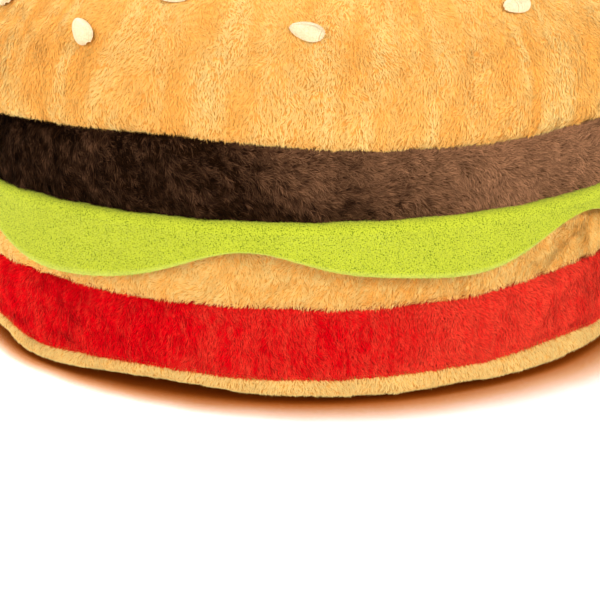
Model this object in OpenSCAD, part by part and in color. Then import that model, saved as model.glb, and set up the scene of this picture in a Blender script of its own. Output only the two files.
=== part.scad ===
// Burger-shaped clamshell telephone with a sewn plush cover.
// The lid (crown bun, patty, lettuce) carries the earpiece and swings up on a rear hinge.
// The base (middle bun, tomato, heel bun) carries the keypad, microphone, ringer and line socket.
// Frame: millimetres, +Z up, front towards -Y, hinge towards +Y.
// Origin: centre of the non-slip pad's lower face.

/* [Burger] */
// Outer radius of the burger at the patty's lower seam
burger_r = 75; // [73:0.5:82]
// Height above the table of the seam between heel bun and tomato
heel_h = 5.5; // [5:0.5:8]
// Height of the tomato band
tomato_h = 13.5; // [13:0.5:17]
// Height of the middle bun band
middle_h = 14; // [13.5:0.5:18]
// Height of the patty band
patty_h = 13; // [11:0.5:18]
// Rise of the crown bun above the patty
crown_h = 38; // [34:1:46]

/* [Cloth] */
// Thickness of the plush cloth with its pile
plush_t = 2; // [1.6:0.2:2.6]
// Thickness of the lettuce felt
felt_t = 1.2; // [1:0.1:1.5]
// Thickness of the foam padding between plush and plastic
padding_t = 6; // [5:0.5:7]
// How far each plush band bows out between its seams
band_bow = 1.2; // [0.6:0.2:1.2]
// How far the seams of the base half sit inside the burger radius
seam_tuck = 2; // [2:0.2:3]
// Number of waves round the lettuce hem
lettuce_waves = 7; // [5:1:9]
// Mean drop of the lettuce hem below the patty seam
lettuce_drop = 8.4; // [7:0.2:9]
// Half the height of the hem's waves
lettuce_wave_h = 3.8; // [2:0.2:4]
// Number of sesame seeds sewn on the crown
seed_count = 42; // [24:1:60]
// Length of a sewn sesame seed
seed_l = 6; // [4:0.5:8]
// Width of a sewn sesame seed
seed_w = 3.4; // [2.5:0.1:4.5]

/* [Plastic shells] */
// Wall of the plastic shells
shell_wall = 2.4; // [2:0.2:3]
// Thickness of the keypad deck and the ear panel
panel_t = 2; // [1.6:0.2:2.4]
// Closed gap between the deck's rim and the ear panel
rim_gap = 0.8; // [0.6:0.1:1.2]
// Depth of the dish that the keys stand in
dish_depth = 2.5; // [2.2:0.1:3]
// Thickness of the non-slip pad
pad_t = 1.5; // [1.2:0.1:2]
// Gap between the non-slip pad and the cloth turned in under the heel
pad_gap = 2; // [1:0.5:4]

/* [Hinge] */
// Radius of the hinge pin
pin_r = 1.5; // [1.2:0.1:2]
// Outer radius of the hinge knuckles
knuckle_r = 4.2; // [3.6:0.1:4.5]
// Width of the lid's knuckle
lid_knuckle_w = 21; // [16:1:26]
// Width of each of the base's two knuckles
base_knuckle_w = 10; // [8:0.5:12]

/* [Keypad] */
// Width of a key cap
key_w = 13; // [11:0.5:13.5]
// Depth of a key cap, front to back
key_d = 9.5; // [8:0.5:10]
// Height of the key caps above the dish
key_rise = 1.8; // [1.4:0.1:2]
// Travel of a key
key_travel = 1.2; // [0.8:0.1:1.5]
// Space from key centre to key centre, side to side
key_pitch_x = 17; // [17:0.5:18]
// Space from key centre to key centre, front to back
key_pitch_y = 13.5; // [13.5:0.5:14]

/* [Telephone works] */
// Radius of the earpiece receiver
receiver_r = 16; // [13:0.5:18]
// Height of the earpiece receiver
receiver_h = 8; // [6:0.5:10]
// Radius of the ringer
ringer_r = 12; // [9:0.5:12]
// Height of the ringer
ringer_h = 6; // [4:0.5:8]
// Radius of the microphone capsule
mic_r = 4.8; // [3:0.2:5]
// Height of the microphone capsule
mic_h = 5; // [4:0.5:5.5]
// Thickness of the circuit board
board_t = 1.6; // [1.2:0.1:2]
// Travel of the hook plunger as the lid lifts off it
hook_travel = 3; // [2:0.5:3]
// Radius of the hook plunger's button
plunger_r = 3; // [2.4:0.2:3.4]

/* [Hidden] */
$fn = 96;

// Colours
tan_plush = [0.94, 0.66, 0.30];
brown_plush = [0.27, 0.16, 0.10];
red_plush = [0.82, 0.06, 0.07];
green_felt = [0.72, 0.78, 0.12];
dark_plastic = [0.20, 0.12, 0.08];
cream_plastic = [0.93, 0.88, 0.76];
foam_white = [0.93, 0.92, 0.88];
board_green = [0.10, 0.36, 0.20];
rubber_black = [0.06, 0.06, 0.06];
steel = [0.72, 0.72, 0.74];

// Clearances
fit = 0.3;         // between pieces that slide or pass through each other
snug = 0.2;        // between padding and what it fills
pin_run = 0.05;    // radial running clearance on the hinge pin
pin_press = 0.02;  // radial clearance of the pin in the base knuckles
thread_fit = 0.05; // radial clearance of a screw in its pilot hole
tiny = 0.01;
through = 120;     // long enough to cut right through any piece

// Heights of the base half
heel_lip_t = 1.2;                                 // cloth turned under the shell's floor
floor_z = pad_t;
floor_top = floor_z + shell_wall;
heel_seam_z = heel_h;
tomato_seam_z = heel_seam_z + tomato_h;
middle_top_z = tomato_seam_z + middle_h;
deck_under = middle_top_z - panel_t;
dish_top = middle_top_z - dish_depth;
dish_under = dish_top - panel_t;

// Heights of the lid half
panel_z = middle_top_z + rim_gap;
panel_top = panel_z + panel_t;
patty_seam_z = panel_z + felt_t;
crown_seam_z = patty_seam_z + patty_h;
crown_top_z = crown_seam_z + crown_h;

// Radii
shell_r = burger_r - plush_t - padding_t;         // outer radius of both plastic shells
shell_in_r = shell_r - shell_wall;
base_seam_r = burger_r - seam_tuck;               // heel, tomato and middle seams
band_top_r = base_seam_r - 0.5;                   // top edge of the middle bun cover
panel_r = band_top_r - plush_t - fit;             // deck flange and ear panel
crown_seam_r = burger_r - 1;
crown_wide_r = burger_r + 0.6;
heel_lip_r = shell_r - 10;                        // inner edge of the cloth under the floor
pad_r = heel_lip_r - pad_gap;
floor_r = shell_r - 6;                            // edge of the shell's flat floor
floor_bevel_h = 6.5;                              // height of the shell's bevelled lower edge

// Hinge
arm_gap = 0.5;
hinge_y = burger_r + 4;
hinge_z = tomato_seam_z + 5.4;
base_knuckle_x = lid_knuckle_w / 2 + arm_gap;     // inner face of the base knuckles
hinge_block_w = 2 * (base_knuckle_x + base_knuckle_w);
hinge_block_y = base_seam_r - 0.2;                // outer face of the base's hinge block
hinge_block_low = tomato_seam_z + 1.2;
hinge_block_high = deck_under;
lid_arm_low = panel_top + 1.2;
lid_arm_h = 5;
lid_leg_y = burger_r + band_bow + 0.8;            // inner face of the lid arm's leg
lid_leg_t = 5.5;
pin_head_r = pin_r + 0.9;
pin_head_t = 1;

// Crown
crown_wide_z = crown_seam_z + 5;                  // height of the crown's widest point
crown_power = 2.25;                               // 2 is an ellipse, more is a fuller bun
dome_inset = padding_t + 4;                       // from crown top to the lid shell's top

// Keypad
key_rows = [["1", "2", "3"], ["4", "5", "6"], ["7", "8", "9"], ["star", "0", "hash"]];
keypad_y = -3;
key_flange_t = 1.2;
key_flange_x = 1.4;                               // flange beyond the cap, each side
key_flange_y = 1.1;
key_corner = 2;
flange_top = dish_under - snug;
flange_under = flange_top - key_flange_t;
dome_h = key_travel + 1.1;
dome_r = 3.6;
mat_t = 1;
mat_gap = 0.1;                                    // closed gap between dome and key
board_top = flange_under - mat_gap - dome_h - mat_t;
board_under = board_top - board_t;
mat_w = 2 * key_pitch_x + key_w + 8;
mat_d = 3 * key_pitch_y + key_d + 6;
dish_r = shell_r - 9;

// Board
board_w = mat_w + 18;
board_d = mat_d + 12;
board_hole_x = board_w / 2 - 4;
board_hole_y = board_d / 2 - 4;
board_post_r = 2.5;
board_screw_r = 1;
board_screw_head_r = 1.9;
board_screw_head_t = 1.2;
board_screw_bite = 3;                             // length of a board screw inside its post
chip_w = 22;
chip_d = 9;
chip_t = 3;
small_chip_w = 12;
small_chip_d = 8;
cap_r = 3.2;                                      // radius of the largest capacitor
cap_h = 9;
crystal_w = 9;
crystal_t = 4;

// Deck posts and their screws
post_ring_r = shell_r - 19;
post_angles = [20, 160, 200, 340];
post_r = 3.6;
boss_top = floor_top + 8;
boss_r = 4.2;
deck_screw_r = 1.25;
deck_screw_head_r = 2.8;
deck_screw_head_t = 1.4;
counterbore_r = deck_screw_head_r + fit;
counterbore_t = deck_screw_head_t + 0.2;
pad_hole_r = counterbore_r + 0.8;                 // screwdriver hole through the non-slip pad
screw_pass_r = deck_screw_r + 0.4;
screw_bite = 10;                                  // length of a deck screw inside its post

// Hook switch
plunger_at = [shell_r - 37, shell_r - 24];
plunger_top = panel_z - fit;
plunger_flange_r = plunger_r + 1.2;
plunger_flange_t = 1.2;
plunger_flange_top = dish_under - fit - hook_travel;
plunger_flange_under = plunger_flange_top - plunger_flange_t;
stem_r = 1.5;
spring_l = 10;                                    // spring's length while the lid holds it down
spring_seat_z = plunger_flange_under - spring_l;
spring_wire_r = 0.35;
spring_r = stem_r + spring_wire_r + 0.9;          // to the middle of the wire
spring_turns = 6;
switch_w = 9;
switch_d = 5.5;
switch_h = 6;
lever_t = 0.3;
lever_w = 3.2;
switch_from_plunger = 14;                         // middle of the switch from the plunger's axis

// Ringer and microphone
ringer_ring = shell_in_r - ringer_r - 10;         // distance of the ringer from the middle
ringer_at = [-ringer_ring * sin(30), ringer_ring * cos(30)];
ringer_wall = 1.4;
sound_hole_ring = 5;
sound_hole_r = 1;
mic_y = -(dish_r - mic_r - 6.5);
boot_wall = 0.8;
mic_cup_wall = 1.4;

// Line socket, slide switches and their plate
plate_margin = 0.8;
plate_low = heel_seam_z + plate_margin;
plate_high = tomato_seam_z - plate_margin;
plate_mid = (plate_low + plate_high) / 2;
plate_face_y = base_seam_r + 1;
plate_skin = 2.4;
plate_back_y = shell_r - 7;
jack_w = 13;
jack_h = 10.4;
jack_d = 13;
socket_w = 9.8;
socket_h = 6.8;
socket_d = 10.5;
slider_slot_h = 2.6;
slider_knob_w = 2.2;
slider_proud = 1.2;                               // how far a slider stands out of the plate
slider_bed = 3;                                   // depth of the slider's bed in its housing
slider_throw = 1.5;                               // travel of a slider each way from its middle
slider_slot_w = slider_knob_w + 2 * slider_throw + 0.4;
slide_body_half = slider_slot_w / 2 + 0.9;
slide_body_d = 5;
slider_x = jack_w / 2 + 0.7 + slide_body_half;
plate_screw_r = 1.1;
plate_screw_head_r = 1.9;
plate_screw_bite = 4;
plate_boss_r = plate_screw_r + 1.1;
plate_screw_x = slider_x + slide_body_half + 0.4 + plate_boss_r;
plate_half_w = plate_screw_x + plate_boss_r + 0.6;
plate_post_y = plate_back_y - 7;

// Receiver in the lid
receiver_y = -20;
seal_t = 0.8;
ear_hole_r = 1;
ear_hole_pitch = 5;
ear_dish_t = 0.8;
cup_wall = 1.6;
bracket_t = 1.5;
bracket_w = 8;
bracket_post_r = 3;
bracket_post_x = receiver_r + cup_wall + 4;
bracket_z = panel_top + seal_t + receiver_h;
bracket_screw_r = 1.1;
bracket_screw_head_r = 2.1;
bracket_screw_head_t = 1.2;
lid_screw_ring = shell_r - 11;
lid_screw_angles = [45, 135, 225, 315];
lid_post_r = 3.4;

bumper_r = 2.2;
bumper_angles = [30, 150, 210, 330];
bumper_ring = (dish_r + panel_r) / 2 + 1;
bumper_sink = 1;

// Lettuce
lettuce_in_r = base_seam_r + 1.3;                 // inner face of the hanging felt
lettuce_gap_x = hinge_block_w / 2 + 3;            // the felt stops this far either side of the hinge
lettuce_gap_deg = asin(lettuce_gap_x / lettuce_in_r);
lettuce_steps = 150;
wave_lag = 8;                                     // turns the first crest off the front, in degrees
wave_skew = 20;                                   // makes each wave steeper on one side, in degrees

// Sesame seeds
seed_t = 1.6;
seed_spread = 0.8;                                // the outermost seed's share of the arc from top to widest
golden_turn = 137.508;
seed_spin = 67;                                   // turns each seed another way, in degrees
seed_lift = 0.1;                                  // gap between the seeds and the crown's cloth

// ---------- shared shapes ----------

function reversed(points) = [for (i = [len(points) - 1 : -1 : 0]) points[i]];

// Points from one seam to the next on a line that bows outwards
function bow(r0, z0, r1, z1, out, n = 10) =
    [for (i = [0 : n]) let (t = i / n) [r0 + (r1 - r0) * t + out * sin(180 * t), z0 + (z1 - z0) * t]];

function shifted(points, dr) = [for (p = points) [p[0] + dr, p[1]]];

// Quarter of a rounded bun from its widest radius to its top
function dome(r, z0, h, power, n = 18) =
    [for (i = [0 : n]) let (a = 90 * i / n)
        [i == n ? 0 : r * pow(cos(a), 2 / power), z0 + h * pow(sin(a), 2 / power)]];

module spun(points) rotate_extrude($fn = 128) polygon(points);

// A closed band of cloth whose outer face follows the points
module cloth_band(outer, thickness = plush_t) spun(concat(outer, reversed(shifted(outer, -thickness))));

module rounded_slab(w, d, h, r) {
    translate([-w / 2 + r, -d / 2, 0]) cube([w - 2 * r, d, h]);
    translate([-w / 2, -d / 2 + r, 0]) cube([w, d - 2 * r, h]);
    for (x = [-1, 1], y = [-1, 1])
        translate([x * (w / 2 - r), y * (d / 2 - r), 0]) cylinder(r = r, h = h, $fn = 32);
}

module tube(r_out, r_in, h) difference() {
    cylinder(r = r_out, h = h);
    translate([0, 0, -1]) cylinder(r = r_in, h = h + 2);
}

module at_ring(r, angles) for (a = angles) rotate([0, 0, a]) translate([r, 0, 0]) children();

module box_between(low, high) translate(low) cube(high - low);

// A round lead through a list of points
module lead(points, r) {
    for (i = [0 : len(points) - 2]) {
        step = points[i + 1] - points[i];
        length = norm(step);
        translate(points[i])
            rotate([0, acos(step[2] / length), atan2(step[1], step[0])])
                cylinder(r = r, h = length, $fn = 24);
    }
    for (i = [1 : len(points) - 2]) translate(points[i]) sphere(r = r, $fn = 24);
}

// A coil spring standing on z = 0, as one closed tube
module coil(r, wire, h, turns, steps = 16, sides = 6) {
    n = turns * steps;
    rise = h - 2 * wire;
    points = [for (i = [0 : n], k = [0 : sides - 1])
        let (a = 360 * i / steps, b = 360 * k / sides, rr = r + wire * cos(b))
            [rr * cos(a), rr * sin(a), wire + rise * i / n + wire * sin(b)]];
    skin = [for (i = [0 : n - 1], k = [0 : sides - 1]) let (k2 = (k + 1) % sides)
        [i * sides + k, i * sides + k2, (i + 1) * sides + k2, (i + 1) * sides + k]];
    polyhedron(points, concat([[for (k = [sides - 1 : -1 : 0]) k]], skin,
        [[for (k = [0 : sides - 1]) n * sides + k]]), convexity = 10);
}

module screw(r, length, head_r, head_t) {
    cylinder(r = head_r, h = head_t, $fn = 32);
    cylinder(r = r, h = head_t + length, $fn = 32);
}

// ---------- outlines of the cloth ----------

heel_outline = [
    [heel_lip_r, floor_z - heel_lip_t], [base_seam_r - 8, floor_z - heel_lip_t],
    [base_seam_r - 5, floor_z - heel_lip_t + 0.3], [base_seam_r - 2.8, heel_h * 0.22],
    [base_seam_r - 1.2, heel_h * 0.5], [base_seam_r, heel_h]
];
tomato_outline = bow(base_seam_r, heel_seam_z, base_seam_r, tomato_seam_z, band_bow);
middle_outline = bow(base_seam_r, tomato_seam_z, band_top_r, middle_top_z, band_bow * 0.6);
patty_outline = bow(burger_r, patty_seam_z, crown_seam_r, crown_seam_z, band_bow);
crown_outline = concat(
    [[crown_seam_r, crown_seam_z]],
    [[(crown_seam_r + 2 * crown_wide_r) / 3, (crown_seam_z + crown_wide_z) / 2]],
    dome(crown_wide_r, crown_wide_z, crown_top_z - crown_wide_z, crown_power));
crown_inner = concat(
    [[crown_seam_r - plush_t, crown_seam_z]],
    dome(crown_wide_r - plush_t, crown_wide_z, crown_top_z - crown_wide_z - plush_t, crown_power));
shell_dome_h = crown_top_z - dome_inset - crown_seam_z;
shell_dome = dome(shell_r, crown_seam_z, shell_dome_h, 2);

// ---------- base half ----------

module non_slip_pad() color(rubber_black) difference() {
    cylinder(r = pad_r, h = pad_t);
    at_ring(post_ring_r, post_angles) translate([0, 0, -1]) cylinder(r = pad_hole_r, h = pad_t + 2, $fn = 48);
    translate([ringer_at[0], ringer_at[1], -1])
        cylinder(r = sound_hole_ring + sound_hole_r + 1, h = pad_t + 2);
}

module base_shell_body() spun([
    [0, floor_z], [floor_r, floor_z], [shell_r, floor_z + floor_bevel_h], [shell_r, deck_under],
    [shell_in_r, deck_under], [shell_in_r, floor_top + floor_bevel_h - 1], [floor_r - 1.4, floor_top],
    [0, floor_top]
]);

module hinge_knuckle(x, w) translate([x, hinge_y, hinge_z]) rotate([0, 90, 0]) cylinder(r = knuckle_r, h = w);

module hinge_bore(r)
    translate([-through / 2, hinge_y, hinge_z]) rotate([0, 90, 0]) cylinder(r = r, h = through);

module base_hinge() {
    box_between([-hinge_block_w / 2, shell_r - 5, hinge_block_low],
        [hinge_block_w / 2, hinge_block_y, hinge_block_high]);
    for (x = [-hinge_block_w / 2, base_knuckle_x]) {
        hinge_knuckle(x, base_knuckle_w);
        box_between([x, hinge_block_y - 1, hinge_z - 3], [x + base_knuckle_w, hinge_y, hinge_z + 3]);
    }
}

module plate_post(x) difference() {
    box_between([x - 3, plate_post_y, floor_top - tiny], [x + 3, plate_back_y, plate_mid + 3.5]);
    translate([x, plate_post_y - 1, plate_mid]) rotate([-90, 0, 0])
        cylinder(r = plate_screw_r + thread_fit, h = through, $fn = 32);
}

module base_shell() color(dark_plastic) difference() {
    union() {
        base_shell_body();
        base_hinge();
        at_ring(post_ring_r, post_angles)
            translate([0, 0, floor_z]) cylinder(r = boss_r, h = boss_top - floor_z);
        translate([plunger_at[0], plunger_at[1], floor_z])
            cylinder(r = plunger_flange_r, h = spring_seat_z - floor_z);
        translate([ringer_at[0], ringer_at[1], floor_z])
            cylinder(r = ringer_r + fit + ringer_wall, h = shell_wall + ringer_h * 0.6);
        box_between([plunger_at[0] - switch_from_plunger - 5, plunger_at[1] - 3.5, floor_z],
            [plunger_at[0] - switch_from_plunger + 5, plunger_at[1] + 3.5,
                plunger_flange_under - lever_t - switch_h - 0.4]);
        for (x = [-plate_screw_x, plate_screw_x]) plate_post(x);
    }
    hinge_bore(pin_r + pin_press);
    // passage for the rear plate
    box_between([-plate_half_w - fit, plate_back_y, plate_low - fit],
        [plate_half_w + fit, burger_r, plate_high + fit]);
    // screw holes through the floor
    at_ring(post_ring_r, post_angles) translate([0, 0, floor_z - 1]) {
        cylinder(r = screw_pass_r, h = boss_top - floor_z + 2, $fn = 32);
        cylinder(r = counterbore_r, h = counterbore_t + 1, $fn = 32);
    }
    // guide for the hook plunger's stem
    translate([plunger_at[0], plunger_at[1], floor_top]) cylinder(r = stem_r + fit, h = through, $fn = 32);
    // seat and sound holes for the ringer
    translate([ringer_at[0], ringer_at[1], floor_top]) cylinder(r = ringer_r + fit, h = through);
    translate([ringer_at[0], ringer_at[1], floor_z - 1]) {
        cylinder(r = sound_hole_r, h = 10, $fn = 32);
        at_ring(sound_hole_ring, [0 : 60 : 300]) cylinder(r = sound_hole_r, h = 10, $fn = 32);
    }
}

module key_place(column, row)
    translate([(column - 1) * key_pitch_x, keypad_y + (1.5 - row) * key_pitch_y, 0]) children();

module each_key() for (column = [0 : 2], row = [0 : 3]) key_place(column, row) children();

module deck() color(dark_plastic) difference() {
    union() {
        spun([
            [0, dish_under], [dish_r + panel_t, dish_under], [dish_r + panel_t, deck_under],
            [panel_r, deck_under], [panel_r, middle_top_z], [dish_r, middle_top_z],
            [dish_r, dish_top], [0, dish_top]
        ]);
        at_ring(post_ring_r, post_angles)
            translate([0, 0, boss_top]) cylinder(r = post_r, h = dish_under - boss_top + 1);
        for (x = [-1, 1], y = [-1, 1])
            translate([x * board_hole_x, keypad_y + y * board_hole_y, board_top])
                cylinder(r = board_post_r, h = dish_under - board_top + 1, $fn = 32);
        translate([0, mic_y, dish_under - mic_h + 1])
            cylinder(r = mic_r + boot_wall + mic_cup_wall + snug, h = mic_h);
        // skirt that centres the deck in the shell
        translate([0, 0, deck_under - 2]) tube(shell_in_r - fit, dish_r + 1, 3);
    }
    each_key() translate([0, 0, dish_under - 1])
        rounded_slab(key_w + 2 * fit, key_d + 2 * fit, panel_t + 2, key_corner + fit);
    at_ring(post_ring_r, post_angles) translate([0, 0, boss_top - 1])
        cylinder(r = deck_screw_r + thread_fit, h = screw_bite + 3, $fn = 32);
    for (x = [-1, 1], y = [-1, 1])
        translate([x * board_hole_x, keypad_y + y * board_hole_y, board_top - 1])
            cylinder(r = board_screw_r + thread_fit, h = board_screw_bite + 1.5, $fn = 32);
    // seat for the microphone boot, and its sound holes
    translate([0, mic_y, dish_under - mic_h]) cylinder(r = mic_r + boot_wall + snug, h = mic_h);
    translate([0, mic_y, dish_under - 1]) {
        cylinder(r = 0.7, h = 5, $fn = 24);
        at_ring(2.4, [0 : 60 : 300]) cylinder(r = 0.7, h = 5, $fn = 24);
    }
    translate([plunger_at[0], plunger_at[1], dish_under - 3]) cylinder(r = plunger_r + fit, h = 10, $fn = 48);
    at_ring(bumper_ring, bumper_angles) translate([0, 0, middle_top_z - bumper_sink])
        cylinder(r = bumper_r, h = 5, $fn = 32);
    // room for the hinge block under the rear rim
    box_between([-hinge_block_w / 2 - fit, shell_r - 6, deck_under - 3],
        [hinge_block_w / 2 + fit, burger_r, deck_under]);
}

module deck_screws() color(steel)
    at_ring(post_ring_r, post_angles) translate([0, 0, floor_z + 0.2])
        screw(deck_screw_r, boss_top - floor_z + screw_bite - 1.6, deck_screw_head_r, deck_screw_head_t);

module circuit_board() color(board_green) difference() {
    translate([0, keypad_y, board_under]) rounded_slab(board_w, board_d, board_t, 3);
    for (x = [-1, 1], y = [-1, 1])
        translate([x * board_hole_x, keypad_y + y * board_hole_y, board_under - 1])
            cylinder(r = board_screw_r + 0.2, h = board_t + 2, $fn = 32);
}

module board_screws() color(steel)
    for (x = [-1, 1], y = [-1, 1])
        translate([x * board_hole_x, keypad_y + y * board_hole_y, board_under - board_screw_head_t])
            screw(board_screw_r, board_t + board_screw_bite, board_screw_head_r, board_screw_head_t);

// Chips and capacitors soldered under the board
module board_parts() color(rubber_black) {
    translate([-board_w / 6, keypad_y - chip_d, board_under - chip_t])
        rounded_slab(chip_w, chip_d, chip_t, 0.6);
    translate([board_w / 5, keypad_y - 1.5 * small_chip_d, board_under - 0.8 * chip_t])
        rounded_slab(small_chip_w, small_chip_d, 0.8 * chip_t, 0.6);
    // capacitors: place across and along the board as shares of it, and size as a share of the largest
    for (p = [[-0.33, 0.2, 1], [-0.19, 0.23, 0.8], [0.25, 0.15, 0.9], [0.37, 0.18, 0.7]])
        translate([p[0] * board_w, keypad_y + p[1] * board_d, board_under - p[2] * cap_h])
            cylinder(r = p[2] * cap_r, h = p[2] * cap_h, $fn = 32);
    translate([board_w / 18, keypad_y + board_d / 7, board_under - crystal_t])
        rounded_slab(crystal_w, crystal_t, crystal_t, 0.8);
}

// Wires from the board to the line socket and to the ringer
module board_leads() color([0.75, 0.1, 0.1]) {
    wire_r = 0.6;
    board_edge_y = keypad_y + board_d / 2 - 6;
    for (x = [-3, 3]) lead([
        [x, board_edge_y, board_under], [x, board_edge_y, plate_mid],
        [x, plate_face_y - plate_skin - jack_d, plate_mid]], wire_r);
    for (dx = [-2, 2]) lead([
        [ringer_at[0] + dx, board_edge_y, board_under],
        [ringer_at[0] + dx, board_edge_y, floor_top + ringer_h + 4],
        [ringer_at[0] + dx, ringer_at[1], floor_top + ringer_h + 4],
        [ringer_at[0] + dx, ringer_at[1], floor_top + ringer_h]], wire_r);
}

module key_mat() color([0.55, 0.55, 0.56]) {
    translate([0, keypad_y, board_top]) rounded_slab(mat_w, mat_d, mat_t, 2);
    each_key() translate([0, 0, board_top + mat_t - tiny])
        cylinder(r1 = dome_r, r2 = dome_r - 1.2, h = dome_h + tiny, $fn = 32);
}

module key(column, row) color(cream_plastic) key_place(column, row) {
    translate([0, 0, flange_under])
        rounded_slab(key_w + 2 * key_flange_x, key_d + 2 * key_flange_y, key_flange_t, key_corner);
    translate([0, 0, flange_top - tiny])
        rounded_slab(key_w, key_d, dish_top + key_rise - flange_top - 0.6 + tiny, key_corner);
    translate([0, 0, dish_top + key_rise - 0.6 - tiny])
        rounded_slab(key_w - 0.8, key_d - 0.8, 0.6 + tiny, key_corner - 0.4);
}

module hook_plunger() color(cream_plastic) translate([plunger_at[0], plunger_at[1], 0]) {
    translate([0, 0, plunger_flange_top - tiny])
        cylinder(r = plunger_r, h = plunger_top - plunger_flange_top + tiny, $fn = 48);
    translate([0, 0, plunger_flange_under]) cylinder(r = plunger_flange_r, h = plunger_flange_t, $fn = 48);
    translate([0, 0, floor_top + hook_travel + 1])
        cylinder(r = stem_r, h = plunger_flange_under - floor_top - hook_travel - 1 + tiny, $fn = 32);
}

module hook_spring() color(steel)
    translate([plunger_at[0], plunger_at[1], spring_seat_z])
        coil(spring_r, spring_wire_r, spring_l - 0.1, spring_turns);

module hook_switch() color(rubber_black) {
    top = plunger_flange_under - lever_t - 0.4;
    translate([plunger_at[0] - switch_from_plunger, plunger_at[1], top - switch_h])
        rounded_slab(switch_w, switch_d, switch_h, 0.6);
    box_between([plunger_at[0] - switch_from_plunger - 4, plunger_at[1] - lever_w / 2, top - tiny],
        [plunger_at[0] - spring_r - spring_wire_r - fit, plunger_at[1] + lever_w / 2, top + lever_t]);
}

module ringer() color([0.16, 0.16, 0.17]) translate([ringer_at[0], ringer_at[1], floor_top]) {
    cylinder(r = ringer_r, h = ringer_h - 1.5);
    cylinder(r = ringer_r - 2, h = ringer_h);
}

module microphone() color(steel)
    translate([0, mic_y, dish_under - mic_h + 0.6]) cylinder(r = mic_r, h = mic_h - 1.2);

module microphone_boot() color(rubber_black)
    translate([0, mic_y, dish_under - mic_h + 0.6]) difference() {
        cylinder(r = mic_r + boot_wall, h = mic_h - 0.6);
        translate([0, 0, -1]) cylinder(r = mic_r + 0.05, h = mic_h - 0.2);
        cylinder(r = 2.4, h = mic_h + 1);
    }

module modular_jack() color(rubber_black) translate([0, plate_face_y - plate_skin, plate_mid]) difference() {
    box_between([-jack_w / 2, -jack_d, -jack_h / 2], [jack_w / 2, 0, jack_h / 2]);
    box_between([-socket_w / 2, -socket_d, -socket_h / 2], [socket_w / 2, 1, socket_h / 2]);
    // slot for the plug's latch
    box_between([-1.8, -socket_d, -jack_h / 2 + 0.9], [1.8, 1, 0]);
}

module rear_plate() color(dark_plastic) difference() {
    union() {
        difference() {
            box_between([-plate_half_w, plate_back_y, plate_low], [plate_half_w, plate_face_y, plate_high]);
            box_between([-plate_half_w + 1.4, plate_back_y - 1, plate_low + 0.7],
                [plate_half_w - 1.4, plate_face_y - plate_skin, plate_high - 0.7]);
        }
        for (x = [-plate_screw_x, plate_screw_x]) translate([x, plate_back_y, plate_mid]) rotate([-90, 0, 0])
            cylinder(r = plate_boss_r, h = plate_face_y - plate_back_y - 1, $fn = 32);
    }
    box_between([-socket_w / 2 - 0.2, plate_face_y - plate_skin - 1, plate_mid - jack_h / 2 + 0.9],
        [socket_w / 2 + 0.2, plate_face_y + 1, plate_mid + socket_h / 2 + 0.2]);
    for (x = [-slider_x, slider_x])
        box_between([x - slider_slot_w / 2, plate_face_y - plate_skin - 1, plate_mid - slider_slot_h / 2],
            [x + slider_slot_w / 2, plate_face_y + 1, plate_mid + slider_slot_h / 2]);
    for (x = [-plate_screw_x, plate_screw_x]) translate([x, plate_face_y + 1, plate_mid]) rotate([90, 0, 0]) {
        cylinder(r = plate_screw_head_r + 0.2, h = 2.2, $fn = 32);
        cylinder(r = plate_screw_r + 0.2, h = through, $fn = 32);
    }
}

module rear_plate_screws() color(steel)
    for (x = [-plate_screw_x, plate_screw_x]) translate([x, plate_face_y, plate_mid]) rotate([90, 0, 0])
        screw(plate_screw_r, plate_face_y - plate_back_y + plate_screw_bite, plate_screw_head_r, 1.2);

// The housings that the two sliders run in
module slide_switch_bodies() color(steel)
    for (x = [-slider_x, slider_x]) translate([x, plate_face_y - plate_skin, plate_mid]) difference() {
        box_between([-slide_body_half, -slide_body_d, -3.2], [slide_body_half, 0, 3.2]);
        box_between([-slider_slot_w / 2, -slider_bed, -slider_slot_h / 2],
            [slider_slot_w / 2, 1, slider_slot_h / 2]);
    }

module slider(x) color(cream_plastic)
    box_between(
        [x - slider_knob_w / 2, plate_face_y - plate_skin - slider_bed + fit,
            plate_mid - slider_slot_h / 2 + fit],
        [x + slider_knob_w / 2, plate_face_y + slider_proud, plate_mid + slider_slot_h / 2 - fit]);

module lid_bumpers() color(rubber_black)
    at_ring(bumper_ring, bumper_angles) translate([0, 0, middle_top_z - bumper_sink])
        cylinder(r = bumper_r - 0.1, h = bumper_sink + rim_gap - 0.1, $fn = 32);

// Cuts the passages through the base's soft parts for the hinge block and the rear plate
module base_passages(gap) {
    box_between([-hinge_block_w / 2 - gap, shell_r - 10, hinge_block_low - gap],
        [hinge_block_w / 2 + gap, burger_r + 10, hinge_block_high + gap]);
    box_between([-plate_half_w - gap, shell_r - 10, plate_low - gap],
        [plate_half_w + gap, burger_r + 10, plate_high + gap]);
}

module base_padding() color(foam_white) difference() {
    spun(concat(
        [[floor_r + 1.2, floor_z + snug], [base_seam_r - 6.5, floor_z + snug],
            [base_seam_r - 3.2 - plush_t, heel_h * 0.5 + 0.6]],
        [[base_seam_r - plush_t - snug, heel_seam_z]],
        shifted(tomato_outline, -plush_t - snug),
        [for (p = shifted(middle_outline, -plush_t - snug)) if (p[1] < deck_under - snug) p],
        [[band_top_r - plush_t - snug, deck_under - snug], [shell_r + snug, deck_under - snug],
            [shell_r + snug, floor_z + floor_bevel_h]]));
    base_passages(snug);
}

module middle_bun_cover() color(tan_plush) difference() {
    cloth_band(middle_outline);
    base_passages(fit);
}

module tomato_cover() color(red_plush) difference() {
    cloth_band(tomato_outline);
    base_passages(fit);
}

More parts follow.
